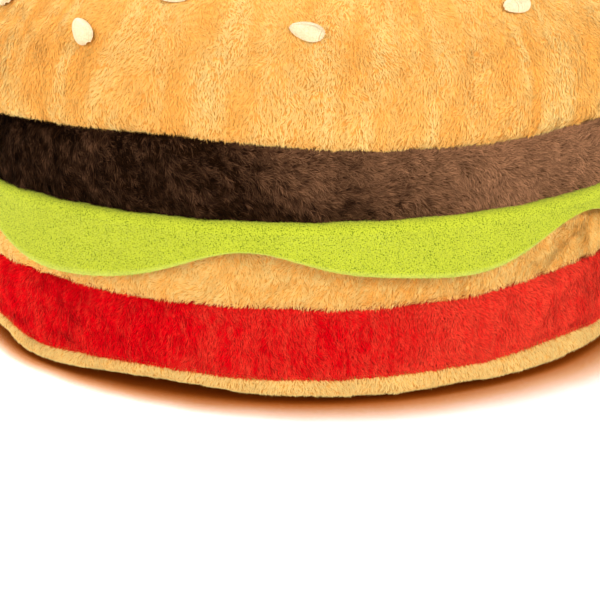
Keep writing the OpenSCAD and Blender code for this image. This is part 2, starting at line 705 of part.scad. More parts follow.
module heel_cover() color(tan_plush) spun(concat(heel_outline, [
    [base_seam_r - plush_t, heel_h], [base_seam_r - 3.2 - plush_t, heel_h * 0.5],
    [base_seam_r - 6.5, floor_z], [heel_lip_r, floor_z]
]));

module hinge_pin() color(steel) translate([-hinge_block_w / 2, hinge_y, hinge_z]) rotate([0, 90, 0]) {
    cylinder(r = pin_r, h = hinge_block_w + 1);
    translate([0, 0, -pin_head_t]) cylinder(r = pin_head_r, h = pin_head_t);
}

// ---------- lid half ----------

module lid_arm() {
    half = lid_knuckle_w / 2;
    corner_y = lid_leg_y + lid_leg_t - lid_arm_h;     // the bend's outside is rounded about this line
    box_between([-half, shell_in_r - 1.5, lid_arm_low], [half, corner_y, lid_arm_low + lid_arm_h]);
    intersection() {
        translate([-half, corner_y, lid_arm_low]) rotate([0, 90, 0])
            cylinder(r = lid_arm_h, h = lid_knuckle_w);
        box_between([-half, corner_y - tiny, lid_arm_low - tiny],
            [half, corner_y + lid_arm_h + 1, lid_arm_low + lid_arm_h + 1]);
    }
    box_between([-half, lid_leg_y, hinge_z], [half, lid_leg_y + lid_leg_t, lid_arm_low]);
    hinge_knuckle(-half, lid_knuckle_w);
}

// The dome's outline drawn in a little, so that the screw posts end inside its wall
function shifted_dome_top() =
    dome(shell_r - 1, crown_seam_z, shell_dome_h - 1, 2);

module lid_shell() color(dark_plastic) difference() {
    union() {
        spun(concat([[shell_in_r, panel_top], [shell_r, panel_top]], shell_dome,
            reversed(dome(shell_in_r, crown_seam_z, shell_dome_h - shell_wall, 2))));
        intersection() {
            at_ring(lid_screw_ring, lid_screw_angles)
                translate([0, 0, panel_top]) cylinder(r = lid_post_r, h = through);
            spun(concat([[0, panel_top], [shell_r - 1, panel_top]], shifted_dome_top()));
        }
        lid_arm();
    }
    hinge_bore(pin_r + pin_run);
    at_ring(lid_screw_ring, lid_screw_angles) translate([0, 0, panel_top - 1])
        cylinder(r = deck_screw_r + thread_fit, h = 13, $fn = 32);
    // hole in the arm's root for the receiver's wires
    translate([0, shell_in_r - 3, lid_arm_low + lid_arm_h / 2]) rotate([-90, 0, 0])
        cylinder(r = 2, h = 3, $fn = 32);
}

module ear_panel() color(dark_plastic) difference() {
    union() {
        translate([0, 0, panel_z]) cylinder(r = panel_r, h = panel_t, $fn = 128);
        translate([0, receiver_y, panel_top - 1]) tube(receiver_r + fit + cup_wall, receiver_r + fit, 5);
        for (x = [-bracket_post_x, bracket_post_x])
            translate([x, receiver_y, panel_top - 1])
                cylinder(r = bracket_post_r, h = bracket_z - panel_top + 1, $fn = 32);
    }
    // shallow dish round the sound holes
    translate([0, receiver_y, panel_z - 1]) cylinder(r = receiver_r + 5, h = 1 + ear_dish_t);
    translate([0, receiver_y, panel_z - 1]) {
        cylinder(r = ear_hole_r, h = 5, $fn = 24);
        at_ring(ear_hole_pitch, [0 : 60 : 300]) cylinder(r = ear_hole_r, h = 5, $fn = 24);
        at_ring(2 * ear_hole_pitch, [0 : 30 : 330]) cylinder(r = ear_hole_r, h = 5, $fn = 24);
    }
    at_ring(lid_screw_ring, lid_screw_angles) translate([0, 0, panel_z - 1]) {
        cylinder(r = screw_pass_r, h = 5, $fn = 32);
        cylinder(r = deck_screw_head_r + 0.2, h = 2, $fn = 32);
    }
    for (x = [-bracket_post_x, bracket_post_x])
        translate([x, receiver_y, panel_top + 1])
            cylinder(r = bracket_screw_r + thread_fit, h = through, $fn = 32);
}

module lid_screws() color(steel)
    at_ring(lid_screw_ring, lid_screw_angles) translate([0, 0, panel_z])
        screw(deck_screw_r, 10, deck_screw_head_r, 1);

module receiver() color(rubber_black) translate([0, receiver_y, panel_top + seal_t]) {
    cylinder(r = receiver_r, h = receiver_h - 2);
    cylinder(r = receiver_r - 3, h = receiver_h);
}

module receiver_seal() color([0.3, 0.3, 0.32])
    translate([0, receiver_y, panel_top]) tube(receiver_r, receiver_r - 2.5, seal_t);

module receiver_bracket() color(steel) difference() {
    translate([0, receiver_y, bracket_z])
        rounded_slab(2 * bracket_post_x + bracket_w, bracket_w, bracket_t, 3);
    for (x = [-bracket_post_x, bracket_post_x])
        translate([x, receiver_y, bracket_z - 1]) cylinder(r = bracket_screw_r + 0.3, h = 4, $fn = 32);
}

module bracket_screws() color(steel)
    for (x = [-bracket_post_x, bracket_post_x])
        translate([x, receiver_y, bracket_z + bracket_t + bracket_screw_head_t]) rotate([180, 0, 0])
            screw(bracket_screw_r, bracket_t + 4, bracket_screw_head_r, bracket_screw_head_t);

// Wires from the receiver to the hole in the hinge arm's root
module receiver_leads() color([0.1, 0.1, 0.6])
    for (x = [-0.8, 0.8]) lead([
        [x, receiver_y + bracket_w / 2 + 1.5, bracket_z],
        [x, receiver_y + bracket_w / 2 + 1.5, bracket_z + 4],
        [x, shell_in_r - 14, bracket_z + 4],
        [x, shell_in_r - 14, lid_arm_low + lid_arm_h / 2],
        [x, shell_in_r, lid_arm_low + lid_arm_h / 2]], 0.6);

// Cuts the passage through the lid's soft parts for the hinge arm
module lid_passage(gap)
    box_between([-lid_knuckle_w / 2 - gap, 0, lid_arm_low - gap],
        [lid_knuckle_w / 2 + gap, burger_r + 10, lid_arm_low + lid_arm_h + gap]);

module patty_padding() color(foam_white) difference() {
    spun(concat([[shell_r + snug, patty_seam_z + 1.2], [burger_r - plush_t - snug, patty_seam_z + 1.2]],
        [for (p = shifted(patty_outline, -plush_t - snug)) if (p[1] > patty_seam_z + 1.2) p],
        [[shell_r + snug, crown_seam_z]]));
    lid_passage(snug);
}

// The patty's cloth is turned in under its lower seam
module patty_cover() color(brown_plush) difference() {
    spun(concat([[panel_r + fit, patty_seam_z]], patty_outline, reversed(
        [for (p = shifted(patty_outline, -plush_t)) if (p[1] > patty_seam_z + 1) p]),
        [[burger_r - plush_t, patty_seam_z + 1], [panel_r + fit, patty_seam_z + 1]]));
    lid_passage(fit);
}

// Height of the lettuce hem at an angle from the front
function hem_z(a) = let (w = lettuce_waves * (a + wave_lag))
    patty_seam_z - lettuce_drop + lettuce_wave_h * cos(w + wave_skew * sin(w)) + 0.5 * sin(2 * a + 40);

// Felt sewn under the patty's lower seam, hanging over the middle bun
module lettuce_flap() color(green_felt) {
    sweep = 180 - lettuce_gap_deg;
    profile_n = 6;
    points = [for (i = [0 : lettuce_steps])
        let (a = -sweep + 2 * sweep * i / lettuce_steps, hem = hem_z(a))
            for (p = [
                [panel_r + fit, panel_z], [lettuce_in_r, panel_z], [lettuce_in_r + 0.4, hem],
                [lettuce_in_r + felt_t + 0.4, hem], [lettuce_in_r + felt_t, patty_seam_z],
                [panel_r + fit, patty_seam_z]])
                [p[0] * sin(a), -p[0] * cos(a), p[1]]];
    skin = [for (i = [0 : lettuce_steps - 1], k = [0 : profile_n - 1]) let (k2 = (k + 1) % profile_n)
        [i * profile_n + k, (i + 1) * profile_n + k, (i + 1) * profile_n + k2, i * profile_n + k2]];
    polyhedron(points, concat([[for (k = [0 : profile_n - 1]) k]], skin,
        [[for (k = [profile_n - 1 : -1 : 0]) lettuce_steps * profile_n + k]]), convexity = 8);
}

module crown_filling() color(foam_white) spun(concat(
    [[shell_r + snug, crown_seam_z]],
    [for (p = crown_inner) [max(0, p[0] - snug), p[0] == 0 ? p[1] - snug : p[1]]],
    reversed(dome(shell_r + snug, crown_seam_z, shell_dome_h + snug, 2))));

module crown_cover() color(tan_plush) spun(concat(crown_outline, reversed(crown_inner)));

// Stands its children on the crown, at a share of the arc from the top to the widest point
module on_crown(share, turn) {
    a = 90 - 90 * share;
    h = crown_top_z - crown_wide_z;
    r = crown_wide_r * pow(cos(a), 2 / crown_power);
    z = crown_wide_z + h * pow(sin(a), 2 / crown_power);
    lean = atan2(h * crown_wide_r * pow(r / crown_wide_r, crown_power - 1),
        crown_wide_r * crown_wide_r * pow((z - crown_wide_z) / h, crown_power - 1));
    rotate([0, 0, turn]) translate([r, 0, z]) rotate([0, lean, 0]) children();
}

module seed(spin) rotate([0, 0, spin]) resize([seed_l, seed_w, seed_t]) sphere(r = 1, $fn = 8);

// The seeds follow a sunflower's spiral, which scatters them evenly
module sesame_seeds() color([0.97, 0.90, 0.72])
    for (i = [0 : seed_count - 1])
        on_crown(seed_spread * sqrt((i + 0.6) / seed_count), golden_turn * i)
            translate([0, 0, seed_t / 2 + seed_lift]) seed(seed_spin * i);

// ---------- pieces ----------

non_slip_pad();
base_shell();
deck();
deck_screws();
circuit_board();
board_parts();
board_screws();
board_leads();
key_mat();
hook_spring();
hook_switch();
ringer();
microphone();
microphone_boot();
modular_jack();
rear_plate();
rear_plate_screws();
slide_switch_bodies();
lid_bumpers();
base_padding();
middle_bun_cover();
tomato_cover();
heel_cover();
hinge_pin();
for (row = [0 : 3], column = [0 : 2])
    key(column, row);
hook_plunger();
slider(-slider_x);  // ringer_slider
slider(slider_x);  // tone_slider
lid_shell();
ear_panel();
lid_screws();
receiver();
receiver_seal();
receiver_bracket();
bracket_screws();
receiver_leads();
patty_padding();
patty_cover();
lettuce_flap();
crown_filling();
crown_cover();
sesame_seeds();
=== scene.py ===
# %% [markdown]
# # A telephone that looks like a plush hamburger
#
# The telephone is a clamshell. Plastic shells hold the works, and sewn plush hides the shells.
# The packed model holds every working piece at its real size. This lesson dresses it: the plush
# covers get a real pile made of short fibres, the lettuce becomes a soft felt sheet, and the
# plastic gets moulded finishes.

# %% Load the packed model
import itertools
import math

import bpy
import numpy as np
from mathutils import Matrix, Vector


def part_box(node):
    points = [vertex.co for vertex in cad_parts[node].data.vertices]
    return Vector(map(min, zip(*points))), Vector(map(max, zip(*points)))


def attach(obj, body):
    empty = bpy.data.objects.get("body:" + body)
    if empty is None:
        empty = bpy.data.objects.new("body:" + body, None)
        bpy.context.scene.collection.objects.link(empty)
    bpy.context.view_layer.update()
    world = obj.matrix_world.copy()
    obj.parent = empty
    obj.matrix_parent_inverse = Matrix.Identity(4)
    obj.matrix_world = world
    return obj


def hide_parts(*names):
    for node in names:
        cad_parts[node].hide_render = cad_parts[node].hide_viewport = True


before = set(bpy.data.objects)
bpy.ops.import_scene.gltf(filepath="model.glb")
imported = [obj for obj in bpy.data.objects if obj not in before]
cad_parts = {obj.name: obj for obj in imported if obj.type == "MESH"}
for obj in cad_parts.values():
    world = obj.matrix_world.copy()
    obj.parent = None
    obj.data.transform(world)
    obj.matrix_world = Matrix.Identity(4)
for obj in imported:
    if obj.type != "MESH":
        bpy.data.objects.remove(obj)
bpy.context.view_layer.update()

# %% [markdown]
# ## The camera comes first
#
# A long lens a little above the table looks at the layers of the burger. The lens is written as
# its focal length in picture widths, because that is what a fit to the curves of the seams gives.
# Two small shifts frame the burger without turning the camera, so upright lines stay upright.

# %% Camera
mm = 0.001
target_z = 0.8 * mm
distance = 350 * mm
elevation = math.radians(19)
sensor_width = 36
picture_widths = 2.592


def shown(name, data):
    """An object with this data, in the scene."""
    made = bpy.data.objects.new(name, data)
    bpy.context.scene.collection.objects.link(made)
    return made


camera_data = bpy.data.cameras.new("camera")
camera_data.sensor_width = sensor_width
camera_data.lens = picture_widths * sensor_width
camera_data.shift_x = -0.0083
camera_data.shift_y = -0.05
camera_data.clip_start = 0.01
camera = shown("camera", camera_data)
camera.location = (0, -distance * math.cos(elevation), target_z + distance * math.sin(elevation))
camera.rotation_euler = (math.pi / 2 - elevation, 0, 0)
bpy.context.scene.camera = camera
print("lens:", round(camera_data.lens, 1), "mm")

# %% [markdown]
# ## Where the layers are
#
# Every height comes from the packed model, so a new size of the model moves the plush with it.

# %% Heights and radii of the layers
heel_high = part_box("heel_cover")[1]
tomato_low, tomato_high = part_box("tomato_cover")
middle_low, middle_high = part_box("middle_bun_cover")
patty_low, patty_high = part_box("patty_cover")
crown_low, crown_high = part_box("crown_cover")

base_r = heel_high[0]
burger_r = patty_high[0]
crown_r = crown_high[0]
for layer, top in (("heel", heel_high), ("tomato", tomato_high), ("middle bun", middle_high),
                   ("patty", patty_high), ("crown", crown_high)):
    print(layer, "ends", round(top[2] / mm, 1), "mm up")

# %% [markdown]
# ## Noise that is always the same
#
# Cloth is never quite even. Smooth noise moves the surfaces a little and combs the pile this way
# and that. It is worked out from the position alone, so every run gives the same burger. Each
# corner of a grid cell gets a scrambled number, and the numbers are blended across the cell.

# %% Smooth noise
def smooth_noise(points, size, seed=0):
    """Values from -1 to 1 that change smoothly over about size metres."""
    grid = points / size + 31.7 * seed
    cell = np.floor(grid).astype(np.int64)
    part = grid - cell
    part = part * part * (3 - 2 * part)
    total = np.zeros(len(points))
    for corner in itertools.product((0, 1), repeat=3):
        key = (cell + corner) @ np.array([73856093, 19349663, 83492791])
        key = (key ^ (key >> 13)) * 1274126177 & 0x7FFFFFFF
        value = ((key ^ (key >> 15)) & 0xFFFF) / 32767.5 - 1
        total += value * np.prod(np.where(corner, part, 1 - part), axis=1)
    return total


print("noise at two spots:", smooth_noise(np.array([[1, 2, 3], [4, 5, 6]]) * mm, 2 * mm).round(2))

# %% [markdown]
# ## Words for a round shape
#
# A burger is easiest to describe by going round it. An azimuth says how far round a spot is: 0 is
# the front, and a quarter turn leads to the right. Together with a radius and a height it gives a
# point.

# %% Round helpers
def spun(r, azimuth, z):
    """Points from their radius, azimuth and height."""
    return np.stack([r * np.sin(azimuth), -r * np.cos(azimuth), z], 1)


def turned(azimuth, direction):
    """How far an azimuth lies round from a direction, between minus and plus half a turn."""
    return (azimuth - direction + np.pi) % (2 * np.pi) - np.pi


def hump(away, width):
    """A smooth hump, 1 in its middle and almost nothing at twice its width away."""
    return np.exp(-(away / width) ** 2)


def unit(vectors):
    """The same directions with a length of 1."""
    return vectors / np.maximum(np.linalg.norm(vectors, axis=1, keepdims=True), 1e-12)


print("the base's rightmost point:", spun(base_r, np.array([np.pi / 2]), np.zeros(1)).round(4)[0])

# %% [markdown]
# ## Seams that wander
#
# A seam that a hand guides strays by a few tenths of a millimetre, and here and there it dips or
# climbs further. A seam is kept as a height for each direction round the burger. Both covers that
# meet in it read the same height, so they can't come apart.

# %% Seams
class Seam:
    """A sewn line round the burger. dips are places where it sags: a direction and a width in degrees, and
    a depth."""

    waves_round = 3, 7, 11, 19, 31, 47

    def __init__(self, seed, stray=0.25 * mm, dips=()):
        self.phases = np.random.default_rng(seed).uniform(0, 2 * np.pi, 6)
        self.stray, self.dips = stray, dips

    def height(self, azimuth):
        waves = [np.cos(n * azimuth + p) / (1 + n / 12) for n, p in zip(self.waves_round, self.phases)]
        height = self.stray * sum(waves) / 1.6
        for direction, width, depth in self.dips:
            away = turned(azimuth, math.radians(direction))
            height = height - depth * hump(away, math.radians(width))
        return height


heel_seam = Seam(11, dips=[(0, 26, 0.6 * mm), (-45, 11, 1.5 * mm),
                           (42, 10, -0.7 * mm), (-61, 9, -0.7 * mm)])
tomato_seam = Seam(12, dips=[(44, 13, -1.7 * mm), (4, 12, 0.3 * mm),
                             (0, 110, 0.45 * mm), (-68, 14, 0.8 * mm)])
patty_seam = Seam(14, stray=0.15 * mm, dips=[(45, 12, -0.2 * mm), (0, 70, 0.5 * mm), (-62, 18, 0.5 * mm)])
crown_seam = Seam(15, stray=0.3 * mm, dips=[(-22, 16, -1.7 * mm), (21, 19, 1.3 * mm)])
no_seam = Seam(16, stray=0.0)
seams = {"heel": heel_seam, "tomato": tomato_seam, "patty": patty_seam, "crown": crown_seam}
for name, seam in seams.items():
    print(name, "seam at the front:", (seam.height(np.zeros(1))[0] / mm).round(2), "mm from level")

# %% [markdown]
# ## A cover as a surface
#
# Each cover is a ring of cloth between two seams. A spun outline gives its form, and the seams
# stray a little. Writing this as a function from "how far round, how far up and how far out" to a
# point has one great use: fibres can be laid on it in those same terms, and they follow every
# lump.

# %% The cover
def spots_of(spots, azimuth, share):
    """The sum of soft round spots on a cover: direction, width, height, reach and depth of each."""
    total = np.zeros(len(azimuth))
    for direction, width, height, reach, depth in spots:
        away = turned(azimuth, math.radians(direction))
        total += depth * np.exp(-(away / math.radians(width)) ** 2 - ((share - height) / reach) ** 2)
    return total


class Cover:
    """Cloth sewn round the burger. outline runs from its lower seam to its upper one, as radius and height.
    turn says how much painted light changes its tone from the left to the right of the front: painted shade
    on the left and painted sheen on the right. marks are soft spots that make the tone deeper, paler where
    their depth is below zero, and dents are spots where the stuffing is thin."""

    beyond = 6 * mm
    nearby = 0.6 * mm

    def __init__(self, outline, low_seam, high_seam, lump=0.3 * mm, seed=0, turn=0.0, marks=(), dents=()):
        self.turn, self.marks, self.dents = turn, marks, dents
        self.low_z, self.high_z = outline[:, 1].min(), outline[:, 1].max()
        steps = np.linalg.norm(np.diff(outline, axis=0), axis=1)
        along = np.concatenate([[0], np.cumsum(steps)])
        self.length = along[-1]
        self.seams = low_seam, high_seam
        self.lump, self.seed = lump, seed
        self.puff = np.zeros((8, 4))
        # the outline goes straight on past both seams, for fibres that reach over them
        before = outline[0] - self.beyond * (outline[1] - outline[0]) / steps[0]
        after = outline[-1] + self.beyond * (outline[-1] - outline[-2]) / steps[-1]
        self.long_along = np.concatenate([[-self.beyond], along, [self.length + self.beyond]])
        self.long_outline = np.vstack([before, outline, after])

    def flat(self, along):
        """Radius, height and outward direction at a length along the outline."""
        def line(spot):
            return [np.interp(spot, self.long_along, self.long_outline[:, axis]) for axis in (0, 1)]

        r, z = line(along)
        after, before = line(along + self.nearby), line(along - self.nearby)
        dr, dz = after[0] - before[0], after[1] - before[1]
        size = np.hypot(dr, dz)
        return r, z, dz / size, -dr / size

    def outward(self, azimuth, along):
        """Directions straight out of the cloth."""
        r, z, out_r, out_z = self.flat(along)
        return spun(out_r, azimuth, out_z)

    def swell(self, azimuth, along):
        """How far the stuffing pushes the cloth out, between the knots of the settled grid."""
        columns, rows = self.puff.shape
        u = (azimuth / (2 * np.pi) % 1) * columns
        v = np.clip(along / self.length, 0, 1) * (rows - 1.001)
        i, k = np.floor(u).astype(int) % columns, np.floor(v).astype(int)
        p, q = u - np.floor(u), v - k
        first = self.puff[i, k] * (1 - q) + self.puff[i, k + 1] * q
        second = self.puff[(i + 1) % columns, k] * (1 - q) + self.puff[(i + 1) % columns, k + 1] * q
        return first * (1 - p) + second * p

    def brushed(self, azimuth, spots):
        """From 0 to 1, how pale the pile is painted. Random brushed patches and the marks move it, and so
        does painted light: the front is painted deeper on the left, as painted shade, and paler on the
        right, as painted sheen, the look of pile that leans towards the eye on one side and away from it on
        the other."""
        patches = smooth_noise(spots * [1, 1, 0.6], 11 * mm, self.seed + 40)
        patches += 0.7 * smooth_noise(spots * [1, 1, 0.5], 4 * mm, self.seed + 41)
        front = turned(azimuth, 0)
        # painted light: deeper on the left of the front as painted shade, paler on its right as painted
        # sheen
        painted_light_side = 1.15 * np.sin(front) * hump(front, math.radians(60)) - 0.1
        tone = 0.5 + self.turn * painted_light_side + (0.2 - 0.05 * self.turn) * patches
        share = (spots[:, 2] - self.low_z) / (self.high_z - self.low_z)
        return np.clip(tone - spots_of(self.marks, azimuth, share), 0, 1)

    def place(self, azimuth, along, out):
        """Points at an azimuth, at a length along the outline and at a height out from the cloth."""
        r, z, out_r, out_z = self.flat(along)
        share = np.clip(along / self.length, 0, 1)
        low, high = (seam.height(azimuth) for seam in self.seams)
        z = z + low * (1 - share) ** 2 + high * share ** 2
        spot = spun(r, azimuth, z)
        lumps = smooth_noise(spot, 22 * mm, self.seed) + 0.4 * smooth_noise(spot, 8 * mm, self.seed + 5)
        held = np.minimum(1, 6 * np.minimum(share, 1 - share))
        out = out + self.lump * lumps * held + self.swell(azimuth, along)
        out = out - spots_of(self.dents, azimuth, share)
        return spun(r + out_r * out, azimuth, z + out_z * out)


print("a cover can tell:", [word for word in vars(Cover) if not word.startswith("_")])

# %% [markdown]
# ## The outlines of the covers
#
# Five covers are sewn to one another: crown and patty on the lid, and middle bun, tomato and heel
# on the base. Where two meet, they share the seam and its radius. The patty, the middle bun and
# the tomato are bands stuffed out between two seams. The crown is a superellipse, an oval with
# fuller shoulders. The heel turns in under the base, where it stands on the table.

# %% Outlines
crown_seam_r = crown_r - 1.2 * mm
tomato_seam_r = base_r - 0.3 * mm
heel_seam_r = base_r - 0.2 * mm
crown_wide_z = crown_low[2] + 5 * mm
crown_h = crown_high[2] - crown_wide_z
crown_power = 2 / 2.25
heel_z = heel_high[2]


def stuffed_band(low_r, low_z, high_r, high_z, bow, fullness=2.6, steps=24):
    """An outline that is stuffed out between two seams. More fullness brings the bulge closer to them."""
    t = np.linspace(0, 1, steps)
    out = bow * (1 - np.abs(2 * t - 1) ** fullness)
    return np.stack([low_r + (high_r - low_r) * t + out, low_z + (high_z - low_z) * t], 1)


def dome(radius, height, steps):
    """A superellipse from the crown's widest point to its pole."""
    turn = np.linspace(0, np.pi / 2, steps)
    r = radius * np.cos(turn) ** crown_power
    return np.stack([r, crown_wide_z + height * np.sin(turn) ** crown_power], 1)


crown_rim = np.array([[crown_seam_r, crown_low[2]], [crown_r - 0.6 * mm, crown_low[2] + 1.2 * mm],
                      [crown_r - 0.2 * mm, crown_low[2] + 3 * mm]])
crown_dome = dome(crown_r, crown_h, 40)
crown_dome[-1, 0] = 0.05 * mm
crown = Cover(np.vstack([crown_rim, crown_dome]), crown_seam, no_seam, lump=0.5 * mm, seed=2)

patty_line = stuffed_band(burger_r - 1.9 * mm, patty_low[2], crown_seam_r, patty_high[2], 1.3 * mm)
# turn paints shade on the left of the patty's front and sheen on its right. The first two marks paint shade
# along its lower edge at the front, where it overhangs the lettuce; the two narrow ones are deeper streaks.
patty = Cover(patty_line, patty_seam, crown_seam, lump=0.3 * mm, seed=3, turn=1.0,
              marks=[(9, 9, 0.12, 0.3, 0.35), (-8, 12, 0.0, 0.35, 0.2), (6, 2.5, 0.6, 0.5, 0.2),
                     (-21, 4, 0.5, 2, 0.1)])

middle_side = stuffed_band(tomato_seam_r, middle_low[2], base_r - 0.5 * mm, middle_high[2] - 1.2 * mm,
                           0.6 * mm)
middle_rim = np.array([[base_r - 0.9 * mm, middle_high[2] - 0.5 * mm],
                       [base_r - 1.6 * mm, middle_high[2] - 0.1 * mm],
                       [base_r - 2.4 * mm, middle_high[2] - 0.2 * mm]])
middle = Cover(np.vstack([middle_side, middle_rim]), tomato_seam, no_seam, lump=0.2 * mm, seed=4)

tomato_line = stuffed_band(heel_seam_r, tomato_low[2], tomato_seam_r, tomato_high[2], 1.0 * mm)
# turn paints the tomato's front crimson on the left, as painted shade, and orange red on the right, as
# painted sheen.
tomato = Cover(tomato_line, heel_seam, tomato_seam, lump=0.25 * mm, seed=5, turn=0.9,
               marks=[(9, 10, 0.45, 0.4, 0.25), (0, 60, -0.1, 0.3, -0.25)])

heel_line = np.array([[base_r - 15 * mm, 1.0 * mm], [base_r - 8 * mm, 1.0 * mm],
                      [base_r - 2.4 * mm, 1.0 * mm], [base_r - 1.0 * mm, 1.1 * mm],
                      [base_r - 0.2 * mm, 1.6 * mm], [base_r + 0.3 * mm, 2.6 * mm],
                      [base_r + 0.2 * mm, heel_z - 0.9 * mm], [heel_seam_r, heel_z]])
# the heel's one mark paints the whole heel paler: a painted highlight for the light that the white table
# throws up onto it.
heel = Cover(heel_line, no_seam, heel_seam, lump=0.25 * mm, seed=6, marks=[(0, 360, 0.5, 5, -0.5)],
             dents=[(-22, 13, 0.78, 0.12, 1.1 * mm), (24, 6, 0.78, 0.12, 0.5 * mm),
                    (38, 12, 0.78, 0.12, -0.9 * mm), (-62, 9, 0.78, 0.12, 1.2 * mm)])
print("the crown's cloth is", round(crown.length / mm), "mm from seam to pole")

# %% [markdown]
# ## Meshes from numbers
#
# Close to a million fibres are too many for Blender's usual mesh tools, so the points and faces go in as
# whole arrays. What lies on a cover also gets a map of it, azimuth against height. Most shapes here are
# grids of points, kept column by column, so one helper makes the faces between them.

# %% Mesh helpers
def new_mesh(name, points, faces, material, uv=None, normals=None):
    """A mesh object from arrays. faces is one row of corners for each face."""
    mesh = bpy.data.meshes.new(name)
    mesh.vertices.add(len(points))
    mesh.vertices.foreach_set("co", np.ascontiguousarray(points, np.float32).ravel())
    mesh.loops.add(faces.size)
    mesh.loops.foreach_set("vertex_index", np.ascontiguousarray(faces, np.int32).ravel())
    mesh.polygons.add(len(faces))
    mesh.polygons.foreach_set("loop_start", np.arange(0, faces.size, faces.shape[1], dtype=np.int32))
    mesh.polygons.foreach_set("use_smooth", np.full(len(faces), True))
    if uv is not None:
        layer = mesh.uv_layers.new(name="OFBake")
        layer.uv.foreach_set("vector", np.ascontiguousarray(uv[faces.ravel()], np.float32).ravel())
    mesh.update(calc_edges=True)
    if normals is not None:
        mesh.normals_split_custom_set_from_vertices(normals)
    if material:
        mesh.materials.append(material)
    return shown(name, mesh)


def many_sided(name, points, faces, material):
    """A smooth mesh object whose faces have any number of corners."""
    mesh = bpy.data.meshes.new(name)
    mesh.from_pydata(points.tolist(), [], faces)
    mesh.shade_smooth()
    mesh.materials.append(material)
    return shown(name, mesh)


def quads(columns, rows, ring=False, loop=False, flipped=False):
    """The faces of a grid. ring joins its last column to its first, and loop its last row to its first."""
    i, k = np.meshgrid(np.arange(columns if ring else columns - 1),
                       np.arange(rows if loop else rows - 1), indexing="ij")
    i, k = i.ravel(), k.ravel()
    i2, k2 = (i + 1) % columns, (k + 1) % rows
    across, up = i2 * rows + k, i * rows + k2
    return np.stack([i * rows + k, up if flipped else across, i2 * rows + k2, across if flipped else up], 1)


def mark(piece, name, values):
    """Give every point of the mesh a number, or a direction, that its material can read."""
    is_number = np.ndim(values) == 1
    layer = piece.data.attributes.new(name, "FLOAT" if is_number else "FLOAT_VECTOR", "POINT")
    numbers = np.ascontiguousarray(values, np.float32).ravel()
    layer.data.foreach_set("value" if is_number else "vector", numbers)


def map_of(cover, azimuth, along):
    """The cover's own map: once round is the width, and the outline's length is the height."""
    return np.stack([azimuth / (2 * np.pi) % 1.0, np.clip(along / cover.length, 0, 1)], 1)


def ring_grid(cover, columns, rows, high=1.0):
    """Places in a regular grid round a cover, and the faces between them."""
    azimuth = np.repeat(np.linspace(0, 2 * np.pi, columns, endpoint=False), rows)
    along = np.tile(np.linspace(0, high, rows) * cover.length, columns)
    return azimuth, along, quads(columns, rows, ring=True)


print("a grid of 3 by 3 points has", len(quads(3, 3)), "faces")

# %% [markdown]
# ## Stuffing a cover
#
# Stuffed cloth swells between its seams, and the extra length gathered into a seam has to go
# somewhere: it buckles into small puckers. Both come from a real cloth simulation. The ring of
# cloth starts on its outline with its seams held, a pressure inside pushes it out, and the cloth
# is a little longer than its seams. Where it settles is kept as a grid of "how far out", so that
# backing and fibres can share it.

# %% Stuffing
settle_frames = 20


def weave(piece, pressure, extra):
    """Make a mesh behave as light knitted cloth, held by its seams."""
    cloth = piece.modifiers.new("Cloth", "CLOTH")
    cloth.point_cache.frame_start, cloth.point_cache.frame_end = 1, settle_frames
    cloth.settings.quality = 5
    cloth.settings.mass = 0.1
    cloth.settings.tension_stiffness = 20
    cloth.settings.compression_stiffness = 20
    cloth.settings.shear_stiffness = 8
    cloth.settings.bending_stiffness = 0.05
    cloth.settings.use_pressure = True
    cloth.settings.uniform_pressure_force = pressure
    cloth.settings.shrink_min = -extra
    cloth.settings.vertex_group_mass = "seams"
    cloth.settings.effector_weights.gravity = 0


def settle(cover, columns, rows, pressure=4.0, extra=0.03, most=1.2 * mm, high=1.0):
    """Simulate the cover as cloth under pressure, and keep how far out each point comes to rest."""
    azimuth, along, faces = ring_grid(cover, columns, rows, high)
    start = cover.place(azimuth, along, np.zeros(len(azimuth)))
    piece = new_mesh("settling", start, faces, None)
    held = piece.vertex_groups.new(name="seams")
    edge = np.arange(columns)[:, None] * rows + np.array([0, rows - 1])
    held.add(edge.ravel().tolist(), 1.0, "REPLACE")
    weave(piece, pressure, extra)
    scene = bpy.context.scene
    for step in range(1, settle_frames + 1):
        scene.frame_set(step)
    scene.frame_set(settle_frames)
    ready = piece.evaluated_get(bpy.context.evaluated_depsgraph_get())
    rest = np.empty(3 * len(start))
    ready.data.vertices.foreach_get("co", rest)
    out = ((rest.reshape(-1, 3) - start) * cover.outward(azimuth, along)).sum(1).reshape(columns, rows)
    mesh = piece.data
    bpy.data.objects.remove(piece)
    bpy.data.meshes.remove(mesh)
    scene.frame_set(1)
    print("settled:", rows * columns, "points moved out by", (out.min() / mm).round(2), "to",
          (out.max() / mm).round(2), "mm")
    puff = np.zeros((columns, round(rows / high)))
    puff[:, :rows] = np.clip(out, -most, most)
    return puff


crown.puff = settle(crown, 240, 36, high=0.9)
patty.puff = settle(patty, 360, 12)
middle.puff = settle(middle, 360, 12, most=0.5 * mm)
tomato.puff = settle(tomato, 360, 12)
heel.puff = settle(heel, 360, 14, most=0.2 * mm)

# %% [markdown]
# ## Short words for material nodes
#
# A material is a small network of nodes. Adding and linking them takes three lines each, so two
# small classes shorten that to one call that takes numbers and other nodes' outputs alike. The
# same words serve the sky.

# %% Node helpers
def srgb(red, green, blue):
    """A colour from its 0 to 255 screen values, as a shader wants it."""
    return tuple((c / 255 / 12.92 if c <= 10 else ((c / 255 + 0.055) / 1.055) ** 2.4)
                 for c in (red, green, blue)) + (1,)


def shade(colour, by):
    """The colour made lighter or darker by a factor."""
    return tuple(min(c * by, 1) for c in colour[:3]) + (1,)


